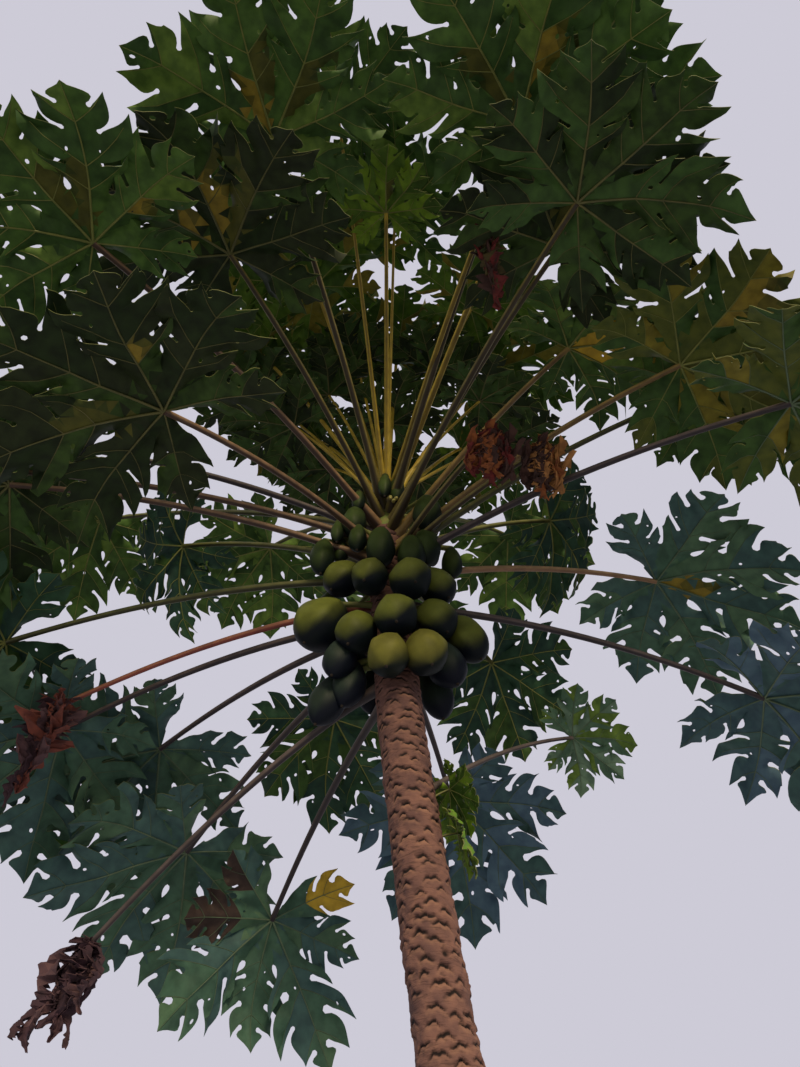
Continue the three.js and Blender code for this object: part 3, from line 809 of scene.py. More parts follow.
def bark_relief(heights):
    """How far the bark stands out, the painted shade of its creases and knots, and the painted highlight of
    the band under each crease, over a grid of heights and azimuths.
    """
    across = np.arange(BARK_COLUMNS) / BARK_COLUMNS * BARK_AROUND
    relief, crease_shade, raised = np.zeros((3, len(heights), BARK_COLUMNS))

    def beside(azimuth):
        return (across - azimuth / 360 * BARK_AROUND + BARK_AROUND / 2) % BARK_AROUND - BARK_AROUND / 2

    for n in range(FIRST_SCAR, int(TRUNK_TOP / SCAR_STEP)):
        middle = n * SCAR_STEP + 12 * (chance(n) - 0.5)
        rows = np.where(np.abs(heights - middle) < SCAR_REACH)[0]
        if len(rows) == 0:
            continue
        u = beside((n * SCAR_TURN + 24 * (chance(n + 0.3) - 0.5)) % 360)
        half = SCAR_HALF_WIDTH * (0.65 + 0.7 * chance(n + 0.7))
        strength = 0.7 + 0.7 * chance(n + 0.9)
        tilt = 0.4 * (chance(n + 0.5) - 0.5)
        thick = CREASE_HALF * (0.75 + 0.55 * chance(n + 0.2))
        arch = SCAR_ARCH * (0.5 + chance(n + 0.6)) * (u / half) ** 2
        ripple = 1.8 * np.sin(0.32 * u + 6 * chance(n + 0.1)) + 0.5 * np.sin(0.75 * u + 6 * chance(n + 0.4))
        v = (heights[rows] - middle)[:, None] + (arch + tilt * u + ripple)[None, :]
        fade = np.clip(1 - (np.abs(u) / half) ** 3, 0, 1)[None, :]
        groove = hump(v / thick) * fade * strength
        lip = hump((v - MOUND_HEIGHT * 0.5) / (MOUND_HEIGHT * 0.4)) * fade
        band = hump((v + 0.45 * MOUND_HEIGHT) / (MOUND_HEIGHT * 0.28)) * fade
        relief[rows] += MOUND * lip * strength - CREASE_DEPTH * groove
        # Painted shade along the crease
        stroke = hump(v / (1.15 * thick)) * fade * min(1, 1.3 * strength)
        crease_shade[rows] = np.maximum(crease_shade[rows], stroke)
        # Painted highlight on the band just below the crease
        raised[rows] = np.maximum(raised[rows], 0.4 * band * strength)
    for azimuth, height, size in KNOTS:
        away = beside(azimuth)[None, :] ** 2 + (heights[:, None] - height) ** 2
        spot = np.exp(-(away / (size * 0.6) ** 2))
        relief += 3.0 * hump((np.sqrt(away) - size) / 4) - 4.0 * spot
        # Painted shade in the knot's hollow middle
        crease_shade = np.maximum(crease_shade, spot)
    for n, (size, height) in enumerate(BARK_LUMPS):
        relief += height * lumps(heights, size, n + 1)
    inset = BARK_INSET + LOW_INSET * smooth(heights, 3000, 1800) * smooth(heights, 0, 600)
    return np.clip(relief, -8, 7) - inset[:, None], np.clip(crease_shade, 0, 1), np.clip(raised, 0, 1)


def bark_piece(name, low, high, rows, material):
    heights = np.linspace(low, high, rows)
    relief, crease_shade, raised = bark_relief(heights)
    rings = [trunk_ring(height, extra) for height, extra in zip(heights, relief)]
    points = np.concatenate([*rings, [trunk_axis(low), trunk_axis(high)]])
    mesh = mesh_from(name, points, closed_rings(rows, BARK_COLUMNS), [material], sharp=70)
    store(mesh, "crease_shade", np.append(crease_shade, [0, 0]))
    store(mesh, "raised", np.append(raised, [0, 0]))
    return link_object(name, mesh)


# Blades


def right_of(way):
    return np.array([way[1], -way[0]])


def half_lobe(notch, side_lobes, seed, gap):
    """Outline of a lobe's left half from the notch to just before its tip, and the side lobes' tips.
    Places are (along, across) as a share of the lobe's length, and gap widens or narrows the slots."""
    away = notch / np.linalg.norm(notch)
    inward = right_of(away)
    eye = EYE * gap * (0.5 + 0.9 * chance(seed + 0.4)) * min(1, 4 * np.linalg.norm(notch))
    base = notch + 0.03 * away + eye * inward
    points = [notch, notch + 0.008 * away + 0.7 * eye * inward, base]
    tips = []
    out = away
    lean = 0.35
    for j, (tip, sinus, _) in enumerate(side_lobes):
        tip = tip + WAVER * (np.array([chance(seed + 3 * j), chance(seed + 3 * j + 1)]) * 2 - 1)
        shorter = 0.75 * chance(seed + 5 * j + 0.8) * (0.62 * tip[1] - sinus[1])
        sinus = sinus + np.array([0.5 * WAVER * (2 * chance(seed + 3 * j + 2) - 1), shorter])
        # The edge nearer the notch bows out from the last slot to the tip
        span = np.linalg.norm(tip - base)
        back = cubic(base, base + lean * span * out, tip - 0.5 * span * np.array([0.97, 0.0]), tip, 9)[1:]
        if chance(seed + 7 * j) > 0.7:
            ahead = (back[5] - back[4]) / np.linalg.norm(back[5] - back[4])
            back[4] += 0.014 * ahead - 0.010 * right_of(ahead)
        points.extend(back)
        tips.append(len(points) - 1)
        # The far edge runs back in to the next slot, which has a round inner end
        reach = np.linalg.norm(tip - sinus)
        out = (tip - sinus) / reach
        beside = right_of(out)
        slot = SLOT * gap * (0.8 + 0.5 * chance(seed + 4 * j + 0.6))
        eye = SLOT_EYE * slot * (0.75 + 0.5 * chance(seed + 6 * j + 0.1))
        end = sinus - slot * beside + 1.5 * eye * out
        leave = tip - 0.3 * reach * np.array([0.75, 0.66])
        points.extend(cubic(tip, leave, end + 0.4 * reach * out, end, 6)[1:])
        for x in (-1.4, -0.5, 0.5, 1.4):
            points.append(sinus + eye * (math.sin(x) * beside - math.cos(x) * out))
        base = sinus + slot * beside + 1.5 * eye * out
        points.append(base)
        lean = 0.5
    tip = np.array([1.0, 0.0])
    span = np.linalg.norm(tip - base)
    arrive = tip - 0.5 * span * np.array([0.85, -0.52])
    points.extend(cubic(base, base + 0.5 * span * out, arrive, tip, 6)[1:-1])
    return np.array(points), tips


def dealt(seed, by_lobe, by_wedge, by_hand):
    """Fixed numbers between 0 and 1 for each lobe, wedge and hand of a blade."""
    return np.array([
        [[chance(seed + by_lobe * k + by_wedge * n + by_hand * h) for h in range(2)] for n in range(4)]
        for k in range(len(LOBES))
    ])


def inside(points, loop):
    """Which points lie inside a closed outline."""
    x, y = points[:, 0][:, None], points[:, 1][:, None]
    x0, y0 = loop[:, 0][None, :], loop[:, 1][None, :]
    x1, y1 = np.roll(x0, -1, 1), np.roll(y0, -1, 1)
    crossed = ((y0 > y) != (y1 > y)) & (x < (x1 - x0) * (y - y0) / (y1 - y0 + 1e-12) + x0)
    return crossed.sum(1) % 2 == 1


class Blade:
    """A lobed blade as a flat sheet of triangles, in shares of its radius, with ribs as chains of points."""

    def __init__(self, seed, most_side_lobes, pitch, gap, shares):
        self.flat = [(0.0, 0.0)]
        self.place = [(0, 0.0, 0.0)]  # lobe, along and across as a share of the lobe's length
        self.faces = []
        self.wedges = []  # how many side ribs lie between each face and the leaf's middle
        self.ribs = []
        self.seed = seed
        self.gap = gap
        self.lobes = []
        for k, (angle, share, sides) in enumerate(LOBES):
            grown_share = share * (0.93 + 0.09 * chance(seed + 0.61 * k))
            self.lobes.append((angle, shares[k] if shares else grown_share, min(sides, most_side_lobes)))
        spokes = self.make_spokes()
        for k in range(len(LOBES)):
            self.add_lobe(k, spokes[k], spokes[k + 1], pitch)
        self.flat, self.place = np.array(self.flat), np.array(self.place)
        self.faces, self.wedges = np.array(self.faces), np.array(self.wedges)

    def to_lobe(self, p, lobe):
        """A place on the flat blade as (along, across), in shares of a lobe's length."""
        angle, share, _ = self.lobes[lobe]
        c, s = math.cos(math.radians(angle)), math.sin(math.radians(angle))
        return np.array([p[0] * c + p[1] * s, -p[0] * s + p[1] * c]) / share

    def to_blade(self, p, lobe):
        angle, share, _ = self.lobes[lobe]
        c, s = math.cos(math.radians(angle)), math.sin(math.radians(angle))
        return np.array([p[0] * c - p[1] * s, p[0] * s + p[1] * c]) * share

    def add_point(self, flat, lobe):
        self.flat.append(tuple(flat))
        self.place.append((lobe, *self.to_lobe(flat, lobe)))
        return len(self.flat) - 1

    def make_spokes(self):
        """Lines from the middle to each notch, which the lobes beside it share."""
        first, last = LOBES[0][0] - NECK_ANGLE, LOBES[-1][0] + NECK_ANGLE
        angles = [first, *((a[0] + b[0]) / 2 for a, b in zip(LOBES, LOBES[1:])), last]
        spokes = []
        for j, angle in enumerate(angles):
            at_neck = j in (0, len(LOBES))
            reach = NECK_SINUS if at_neck else SINUS * (0.9 + 0.2 * chance(self.seed + j + 0.5))
            turn = math.radians(angle)
            shares = (0.5, 1.0) if at_neck else (0.33, 0.66, 1.0)
            lobe = min(j, len(LOBES) - 1)
            ray = np.array([math.cos(turn), math.sin(turn)])
            spokes.append([self.add_point(ray * reach * share, lobe) for share in shares])
        return spokes

    def add_lobe(self, k, right_spoke, left_spoke, pitch):
        side_lobes = SIDE_LOBES[self.lobes[k][2]]
        seed = self.seed + 17 * k
        mirror = np.array([1, -1])
        right_notch = self.to_lobe(self.flat[right_spoke[-1]], k) * mirror
        left_notch = self.to_lobe(self.flat[left_spoke[-1]], k)
        right, right_tips = half_lobe(right_notch, side_lobes, seed + 50, self.gap)
        left, left_tips = half_lobe(left_notch, side_lobes, seed, self.gap)
        owners = [0, *right_spoke]
        points = [self.to_lobe(self.flat[i], k) for i in owners]
        right_ends = [len(points) + tip - 1 for tip in right_tips]
        points += [*(right * mirror)[1:], np.array([1.0, 0.0])]
        nose = len(points) - 1
        left_ends = [nose + len(left) - tip for tip in left_tips]
        points += [*left[:0:-1]]
        owners += [None] * (len(points) - len(owners)) + left_spoke[::-1]
        points += [self.to_lobe(self.flat[i], k) for i in left_spoke[::-1]]
        outline = np.array(points)

        def inner(place):
            points.append(np.array(place))
            owners.append(None)
            return len(points) - 1

        main = {along: inner((along, 0.0)) for along in RIB_ALONG}
        chains = [[0, *main.values(), nose]]
        rib_curves = {1: [], -1: []}
        for hand, ends in ((1, left_ends), (-1, right_ends)):
            for (_, _, root), end in zip(side_lobes, ends):
                root = min(RIB_ALONG, key=lambda along: abs(along - root))
                foot, tip = np.array([root, 0.0]), points[end]
                line = quadratic(foot, foot + (tip - foot) * (0.42, 0.62), tip, 5)
                chains.append([main[root], *(inner(p) for p in line[1:-1]), end])
                rib_curves[hand].append(np.array([foot, *line[1:-1], tip]) * (1, hand))
        taken = np.array(points)
        grid = np.array([
            (pitch * 0.87 * i, pitch * (j + 0.5 * (i % 2)))
            for i in range(1, int(1.2 / pitch)) for j in range(-int(0.4 / pitch), int(0.4 / pitch) + 1)
        ])
        grid = grid[inside(grid, outline)]
        apart = np.linalg.norm(grid[:, None, :] - taken[None, :, :], axis=2).min(1)
        edges = [(a, b) for chain in chains for a, b in zip(chain, chain[1:])]
        holes = []
        for n in range(HOLES):
            size = 0.008 + 0.010 * chance(seed + 2.9 * n)
            free = grid[(apart > size + 0.012) & (grid[:, 0] > 0.3)]
            middle = free[int(chance(seed + 5.3 * n) * len(free))]
            if any(np.linalg.norm(middle - other) < 0.08 for other, _ in holes):
                continue
            holes.append((middle, size))
            ring = [
                inner(middle + size * np.array([math.cos(x), 0.7 * math.sin(x)]))
                for x in np.linspace(0, 2 * math.pi, HOLE_SIDES, endpoint=False)
            ]
            edges += zip(ring, ring[1:] + ring[:1])
        for p, distance in zip(grid, apart):
            if distance > 0.42 * pitch and all(np.linalg.norm(p - m) > 1.6 * s for m, s in holes):
                inner(p)
        found, _, triangles, origins, _, _ = delaunay_2d_cdt(
            [Vector(p) for p in points], edges, [list(range(len(outline)))], 1, 1e-6
        )
        index, where = [], {}
        for p, origin in zip(found, origins):
            owner = next((owners[i] for i in origin if owners[i] is not None), None)
            index.append(self.add_point(self.to_blade(p, k), k) if owner is None else owner)
            where.update(dict.fromkeys(origin, index[-1]))
        for a, b, c3 in triangles:
            pa, pb, pc = found[a], found[b], found[c3]
            turn = (pb.x - pa.x) * (pc.y - pa.y) - (pb.y - pa.y) * (pc.x - pa.x)
            middle = np.array((pa + pb + pc) / 3)
            in_hole = any(np.linalg.norm((middle - m) / (s, 0.7 * s)) < 0.8 for m, s in holes)
            if abs(turn) > 1e-9 and not in_hole:
                corners = (a, b, c3) if turn > 0 else (a, c3, b)
                self.faces.append([index[j] for j in corners])
                curves = rib_curves[1 if middle[1] > 0 else -1]
                beyond = [middle[0] > np.interp(abs(middle[1]), c[:, 1], c[:, 0]) for c in curves]
                self.wedges.append(sum(beyond))
        for n, chain in enumerate(chains):
            self.ribs.append((n == 0, k, [where[i] for i in chain if i in where]))

    def drawn(self, seed, step):
        """A fixed number between 0 and 1 for the lobe of each point."""
        numbers = np.array([chance(seed + step * (k + 1)) for k in range(len(LOBES))])
        return numbers[self.place[:, 0].astype(int)]

    def heights(self, droop, seed):
        """Height of each point over the flat blade as a share of its radius."""
        lobe = self.place[:, 0].astype(int)
        along, across = self.place[:, 1], self.place[:, 2]
        share = np.array([row[1] for row in self.lobes])[lobe]
        hand = (across >= 0).astype(int)
        radius = np.linalg.norm(self.flat, axis=1)
        lobe_droop = droop * (1 + LOBE_SPREAD * (2 * self.drawn(seed, 1.0) - 1))
        free = smooth(radius, 0.3, 0.55)
        wide = np.abs(across)
        fold = LOBE_FOLD * (0.6 + 1.3 * self.drawn(seed, 0.37))
        height = fold * wide * share - lobe_droop * radius**DROOP_POWER
        station = np.clip(along - 0.9 * wide, 0, 0.999)
        side_lobe = np.searchsorted(RIB_ROOTS, station, side="right") - 1
        start, span = RIB_ROOTS[side_lobe], np.diff(RIB_ROOTS)[side_lobe]
        bulge = np.sin(np.pi * (station - start) / span) * span / 0.24
        height += PLEAT * bulge * smooth(wide, 0.0, 0.08) * (1 - smooth(wide, 0.16, 0.26))
        # Side lobes tilt, edges wave, every other lobe lies higher, and tips nod
        tilt = dealt(seed, 3.1, 5.7, 11.3)[lobe, side_lobe, hand] - 0.55
        height += 0.75 * tilt * np.maximum(wide - 0.08, 0) * share
        height += 0.02 * np.sin(26 * along + 6 * self.drawn(seed, 0.71)) * smooth(wide, 0.05, 0.22)
        height += 0.045 * (np.where(lobe % 2 == 1, 0.5, -0.5) + 0.4 * (self.drawn(seed, 0.53) - 0.5)) * free
        height -= 0.12 * self.drawn(seed, 0.19) * smooth(along, 0.75, 1.1)
        return height

    def bent(self, seed):
        """The flat points with each lobe bent a little sideways."""
        sway = self.drawn(seed, 0.83) - 0.5
        angle = np.radians(14) * sway * smooth(np.linalg.norm(self.flat, axis=1), 0.31, 1.1)
        x, y = self.flat[:, 0], self.flat[:, 1]
        return np.stack([x * np.cos(angle) - y * np.sin(angle), x * np.sin(angle) + y * np.cos(angle)], 1)


def plate(count, faces):
    """Faces of a closed plate over a sheet: upper and lower copies and the rim, in that order."""
    edges = {edge: True for a, b, c in faces.tolist() for edge in ((a, b), (b, c), (c, a))}
    rim = [(a, b) for a, b in edges if (b, a) not in edges]
    walls = [(a, a + count, b + count) for a, b in rim] + [(a, b + count, b) for a, b in rim]
    lower = faces[:, ::-1] + count
    return np.concatenate([faces, lower, np.array(walls)]), len(faces), len(rim)


# The upper face, three shades of the underside, dealt to half lobes and wedges as painted light and shade of
# their folds, the last of them the rarest, and how wide the slots between lobes stand open
TONES = {
    "dark": ("upper_face", "dark deep green", 0.55),
    "night": ("upper_face", "night deep dark", 0.55),
    "pine": ("upper_face", "pine spruce green", 0.9),
    "mid": ("upper_face", "mid green leafy", 0.7),
    "warm": ("upper_face", "warm green gold", 0.6),
    "blue": ("upper_face", "blue slate teal", 1.1),
    "slate": ("upper_face", "haze dusk slate", 1.1),
    "light": ("upper_light", "light fresh gold", 0.8),
    "bright": ("upper_light", "bright light fresh", 0.8),
    "shoot": ("upper_light", "shoot teal leafy", 1.0),
}
# The numbers of the leaves of each tone, where they aren't dark
TONE_OF = by_leaf({
    "mid": (2, 3, 7, 14, 19, 21, 22, 24, 29, 30, 31),
    "blue": (9, 10, 11, 12, 26),
    "slate": (15, 27),
    "pine": (8, 13, 16, 17, 28),
    "warm": (23, 25),
    "night": (1, 4, 18),
}) | {"heart_5": "mid", "heart_6": "mid"}
# Leaves whose lobes have grown unevenly: the length of each lobe as a share of the radius
LOBE_SHARES = {"leaf_12": (0.62, 0.66, 0.95, 0.78, 0.95, 0.66, 0.62)}
# Discoloured stretches of a leaf: kind, lobe, hand, first and last wedge, width
PATCHES = {
    "leaf_01": [("ochre", 3, 1, 0, 1, 0.10), ("ochre", 2, 1, 0, 0, 0.08), ("olive", 4, -1, 0, 1, 0.1)],
    "leaf_02": [("ochre", 3, -1, 0, 0, 0.09), ("olive", 3, 1, 0, 1, 0.1), ("olive", 4, 1, 0, 1, 0.08)],
    "leaf_03": [("olive", 3, 1, 0, 1, 0.09), ("olive", 4, -1, 0, 1, 0.07), ("ochre", 5, 1, 1, 1, 0.08)],
    "leaf_04": [("ochre", 4, 1, 1, 1, 0.05), ("olive", 2, 1, 0, 1, 0.06)],
    "leaf_05": [("olive", 2, 1, 1, 2, 0.12)],
    "leaf_18": [("olive", 3, -1, 0, 1, 0.08), ("olive", 4, 1, 0, 1, 0.06)],
    "leaf_19": [("ochre", 3, 1, 0, 1, 0.09), ("olive", 2, -1, 0, 1, 0.07)],
    "leaf_21": [("ochre", 3, -1, 0, 0, 0.09), ("olive", 3, 1, 0, 1, 0.09)],
    "leaf_22": [("lemon", 3, 1, 0, 1, 0.3), ("lemon", 3, -1, 0, 0, 0.12), ("lemon", 4, -1, 0, 0, 0.3)],
    "leaf_23": [("olive", 3, 1, 1, 2, 0.2), ("ochre", 2, 1, 1, 2, 0.15), ("olive", 4, -1, 0, 3, 0.2)],
    "leaf_26": [("ochre", 3, -1, 0, 0, 0.05)],
    "leaf_25": [("olive", 3, -1, 0, 2, 0.1), ("ochre", 2, -1, 1, 1, 0.12)],
    "leaf_12": [("lemon", 0, 0, 1, 3, 1.0), ("brown", 5, 0, 1, 3, 1.0), ("brown", 6, -1, 1, 3, 0.3)],
    "front": [("olive", 3, 1, 0, 0, 0.08)],
}
# What each kind of stretch is made of, from its middle outwards
PATCH_SHADES = {
    "ochre": ("patch_ochre", "patch_tan", "patch_olive"),
    "olive": ("patch_olive", "patch_olive", "patch_moss"),
    "lemon": ("patch_lemon", "patch_lemon", "patch_lemon"),
    "brown": ("patch_brown", "patch_brown", "patch_olive"),
}


class Foliage:
    """Gathers blades into one mesh."""

    def __init__(self):
        self.points, self.faces, self.which, self.uv = [], [], [], []
        self.count = 0

    def add(self, blade, origin, frame, radius, droop, seed, tone, patches=()):
        forward, side, face = frame
        flat = blade.bent(seed) * radius
        height = blade.heights(droop, seed) * radius
        middle = origin + flat[:, :1] * forward + flat[:, 1:] * side + height[:, None] * face
        half = BLADE_THICK / 2 * face
        faces, sheet, rim = plate(len(middle), blade.faces)
        upper_name, under_names, _ = TONES[tone]
        upper = LEAF_SLOTS.index(upper_name)
        common, other, rare = (LEAF_SLOTS.index("underside_" + name) for name in under_names.split())
        # The underside's three shades, dealt by half lobe and by wedge, are painted light and shade of the
        # folds
        lobes = blade.place[blade.faces[:, 0], 0].astype(int)
        hands = (blade.place[blade.faces].mean(1)[:, 2] > 0).astype(int)
        by_half = dealt(seed, 1.7, 0.0, 0.9)[lobes, blade.wedges, hands]
        by_wedge = dealt(seed, 2.3, 7.9, 4.1)[lobes, blade.wedges, hands]
        flipped = (by_half < 0.5) ^ (by_wedge < 0.3)
        below = np.where(by_wedge > 0.8, rare, np.where(flipped, common, other))
        self.discolour(blade, patches, seed, below)
        # The rim walls take the rim colour, a painted highlight along the edges
        which = np.concatenate([np.full(sheet, upper), below, np.full(2 * rim, LEAF_SLOTS.index("rim"))])
        self.points.append(np.concatenate([middle + half, middle - half]))
        self.faces.append(faces + self.count)
        self.which.append(which)
        self.uv.append(np.tile(flat * MM + chance(seed) * 7, (2, 1)))
        self.count += 2 * len(middle)
        return middle - half

    def discolour(self, blade, patches, seed, below):
        """Deals out the shades of a blade's discoloured stretches to the faces of its underside."""
        middles = blade.place[blade.faces].mean(1)
        lobes = blade.place[blade.faces[:, 0], 0]
        for kind, lobe, hand, first, last, width in patches:
            along, across = middles[:, 1], middles[:, 2]
            ragged = 1 + 0.3 * np.sin(23 * along + seed) + 0.2 * np.sin(57 * along + 31 * across)
            out = np.abs(across) / (width * ragged)
            on = (lobes == lobe) & (blade.wedges >= first) & (blade.wedges <= last) & (across * hand >= 0)
            for shade, reach in zip(PATCH_SHADES[kind][::-1], (1.9, 1.3, 0.8)):
                below[on & (out < reach)] = LEAF_SLOTS.index(shade)

    def piece(self, name, materials):
        mesh = mesh_from(
            name, np.concatenate(self.points), np.concatenate(self.faces), materials,
            np.concatenate(self.which), np.concatenate(self.uv), sharp=60,
        )
        return link_object(name, mesh)


def rib_lines(blade, under, face, thin):
    """Lines for a blade's ribs, sunk half into its underside."""
    lines = []
    for is_main, lobe, chain in blade.ribs:
        share = blade.lobes[lobe][1]
        foot, tip = MAIN_RIB if is_main else SIDE_RIB
        t = np.linspace(0, 1, len(chain))
        radii = thin * share * (foot + (tip - foot) * t**0.8)
        points = under[chain] - face * (0.35 * radii)[:, None]
        if not is_main:
            points, radii = points[:-1], radii[:-1]
        lines.append((points, radii))
    return lines


def stalk_radii(share):
    t = np.linspace(0, 1, STALK_STEPS + 1)
    radius = share * (STALK_FOOT_RADIUS + (STALK_TIP_RADIUS - STALK_FOOT_RADIUS) * t)
    return radius * 0.8 * (1 + 0.75 * hump((t - 0.05) / 0.07) + 0.15 * hump((1 - t) / 0.04))


# Underside in painted shade, its blotches, and the upper side in painted light
STALK_LOOKS = {
    "olive": ((46, 38, 22), (32, 27, 16), (118, 108, 54)),
    "green": ((46, 48, 24), (34, 38, 18), (98, 100, 52)),
    "purple": ((38, 32, 38), (28, 25, 31), (86, 76, 72)),
    "russet": ((116, 54, 46), (84, 39, 35), (144, 94, 70)),
    "tan": ((96, 76, 42), (70, 55, 32), (142, 120, 66)),
    "pink": ((120, 92, 68), (92, 70, 54), (148, 122, 88)),
    "yellow": ((106, 90, 26), (74, 63, 20), (172, 150, 50)),
    "brown": ((60, 44, 36), (43, 33, 28), (130, 104, 76)),
}
# The numbers of the leaves on each kind of stalk, where they aren't green
STALK_KIND = by_leaf({
    "olive": (1, 2, 18, 19, 20),
    "brown": (3, 4, 6, 7),
    "purple": (5, 9, 10, 11, 12, 15, 25, 27),
    "yellow": (21,),
    "tan": (22, 23),
    "pink": (26,),
}) | {
    "withered_leaf_1": "russet", "withered_leaf_2": "purple", "withered_leaf_3": "olive",
    "withered_leaf_3_left": "olive", "withered_leaf_4": "yellow",
}


# How each kind of leaf is grown: thickness of its stalk and of its ribs as shares of a grown leaf's, most
# side lobes on each side of a lobe, and size of the blade's triangles as a share of its radius
GROWTH = {
    "grown": (1, 1, 3, 0.062),
    "young": (0.8, 0.7, 3, 0.075),
    "front": (0.8, 0.7, 2, 0.075),
    "heart": (0.6, 0.7, 3, 0.075),
    "shoot": (0.6, 0.5, 2, 0.09),
    "small": (0.3, 0.3, 2, 0.12),
}


def grow_leaves(left, right, young, shoot):
    """Blades for four pieces, the leaf materials, and lines for the stalks and ribs of each kind."""
    ordered = [surface(name, *look, *LEAF_FINISH, "UV", gloss=0.15) for name, look in LEAF_LOOKS.items()]
    stalks = {kind: [] for kind in STALK_LOOKS}
    ribs = {"pale": [], "tan": [], "dim": []}
    groups = {name: Foliage() for name in (left, right, young, shoot)}

    def grow(row, i, growth, tone, group, kind):
        name, foot, azimuth, rise, length, radius, nose, turn, roll, droop = row
        share, thin, most, pitch = GROWTH[growth]
        seed = 10 * i + foot
        line = stalk_line(foot, azimuth, rise, length)
        stalks[kind].append((line, stalk_radii(share)))
        blade = Blade(seed, most, pitch, TONES[tone][2], LOBE_SHARES.get(name))
        frame = blade_frame(azimuth, nose, turn, roll)
        under = groups[group].add(blade, line[-1], frame, radius, droop, seed, tone, PATCHES.get(name, ()))
        look = "tan" if kind in ("russet", "pink", "purple") else "pale"
        look = "dim" if tone in ("dark", "night") else look
        ribs[look].extend(rib_lines(blade, under, frame[2], thin))

    for i, row in enumerate(LEAVES):
        group = left if i < LEFT_LEAVES else right
        grow(row, i, "grown", TONE_OF.get(row[0], "dark"), group, STALK_KIND.get(row[0], "green"))
    for i, row in enumerate(YOUNG_LEAVES):
        growth, tone = ("front", "bright") if row[0] == "front" else ("young", "light")
        grow(row, i, growth, tone, young, "yellow")
    for i, row in enumerate(HEART_LEAVES):
        grow(row, i, "heart", TONE_OF.get(row[0], "dark"), young, "yellow")
    grow(SHOOT, 0, "shoot", "shoot", shoot, "purple")
    for i, row in enumerate(SMALL_LEAVES):
        grow(row, i, "small", "bright", shoot, "green")
    for row in WITHERED:
        name, foot, azimuth, rise, length, *_ = row
        line = stalk_line(foot, azimuth, rise, length)
        stalks[STALK_KIND[name]].append((line, stalk_radii(WITHERED_STALK_SHARE)))
    return groups, ordered, stalks, ribs


# Withered leaves


def crumpled(top, length, width, seed, down, strips, broadest):
    """Shrivelled lobes that leave the end of a stalk, fold along their middles and hang in ragged strips."""
    points, faces, which, count = [], [], [], 0
    rows, columns = DRY_ROWS, DRY_COLUMNS
    for n in range(strips):
        azimuth = 360 * n / strips + 50 * (chance(seed + n) - 0.5)
        side = int((azimuth + 45) % 360 // 90)
        drop = length * (0.4 + 0.6 * chance(seed + 2.3 * n))
        spread = 0.5 * width * (0.3 + 0.7 * chance(seed + 4.1 * n))
        broad = broadest * (0.45 + 0.55 * chance(seed + 5.9 * n))
        spin = 260 * (chance(seed + 7.7 * n) - 0.5)
        lift = 0.12 * length * chance(seed + 9.1 * n)
        grid = np.zeros((rows, columns, 3))
        for r in range(rows):
            t = r / (rows - 1)
            sway = 0.07 * width * np.array([math.sin(11 * t + n), math.cos(8 * t + 2 * n), 0])
            out = spread * float(smooth(t, 0.0, 0.45)) * (1 - 0.35 * t)
            middle = top + heading(azimuth) * (1, 0.5, 1) * out + sway * t
            middle = middle + UP * (6 + lift * math.sin(math.pi * min(1, 2.2 * t))) + down * drop * t**1.2
            turn = azimuth + 90 + spin * t
            across, inward = heading(turn), heading(turn + 90)
            side_lobes = 1 + 0.5 * math.sin(2 * math.pi * 3.5 * t + 1.7 * n)
            wide = broad * (0.2 + 1.1 * math.sin(math.pi * min(1, 0.1 + 0.88 * t))) * side_lobes
            pucker = 0.16 * wide * (chance(seed + 1.9 * r + 5.3 * n) - 0.5)
            for c in range(columns):
                s = 2 * c / (columns - 1) - 1
                ragged = 1 + 0.6 * (chance(seed + 3.3 * r + 17 * n + c) - 0.5)
                fold = 0.7 * wide * abs(s) * (0.5 + chance(seed + n + 0.37 * r))
                crimp = 0.16 * wide * (chance(seed + 7.1 * r + 3 * n + 1.3 * c) - 0.5)
                crimp += 0.07 * wide * math.sin(60 * t + 4 * s + n)
                reach = 0.5 * wide * s * ragged
                grid[r, c] = middle + across * reach + inward * (fold + crimp) + UP * pucker
        normals = np.cross(np.gradient(grid, axis=0), np.gradient(grid, axis=1))
        normals /= np.linalg.norm(normals, axis=2, keepdims=True) + 1e-9
        a = (np.arange(rows - 1)[:, None] * columns + np.arange(columns - 1)).ravel()
        sheet = np.stack([a, a + columns, a + columns + 1, a, a + columns + 1, a + 1], 1).reshape(-1, 3)
        shades = [(side + int(1.6 * chance(seed + n + r // 12) + 0.2)) % 4 for r in range(rows - 1)]
        shades = np.repeat(shades, 2 * (columns - 1))
        closed, _, rim = plate(rows * columns, sheet)
        points += [(grid + shift * normals).reshape(-1, 3) for shift in (DRY_HALF_THICK, -DRY_HALF_THICK)]
        faces.append(closed + count)
        which.append(np.concatenate([shades, shades, np.full(2 * rim, side)]))
        count += 2 * rows * columns
    return np.concatenate(points), np.concatenate(faces), np.concatenate(which)


# Fruit


def fruit_profile(t):
    """Half width of a fruit, as a share of its greatest, at a share of its length from the neck."""
    if t < FRUIT_WIDEST:
        return (1 - (1 - t / FRUIT_WIDEST) ** 2) ** 0.7
    return max(0, 1 - ((t - FRUIT_WIDEST) / (1 - FRUIT_WIDEST)) ** 2.0) ** 0.66


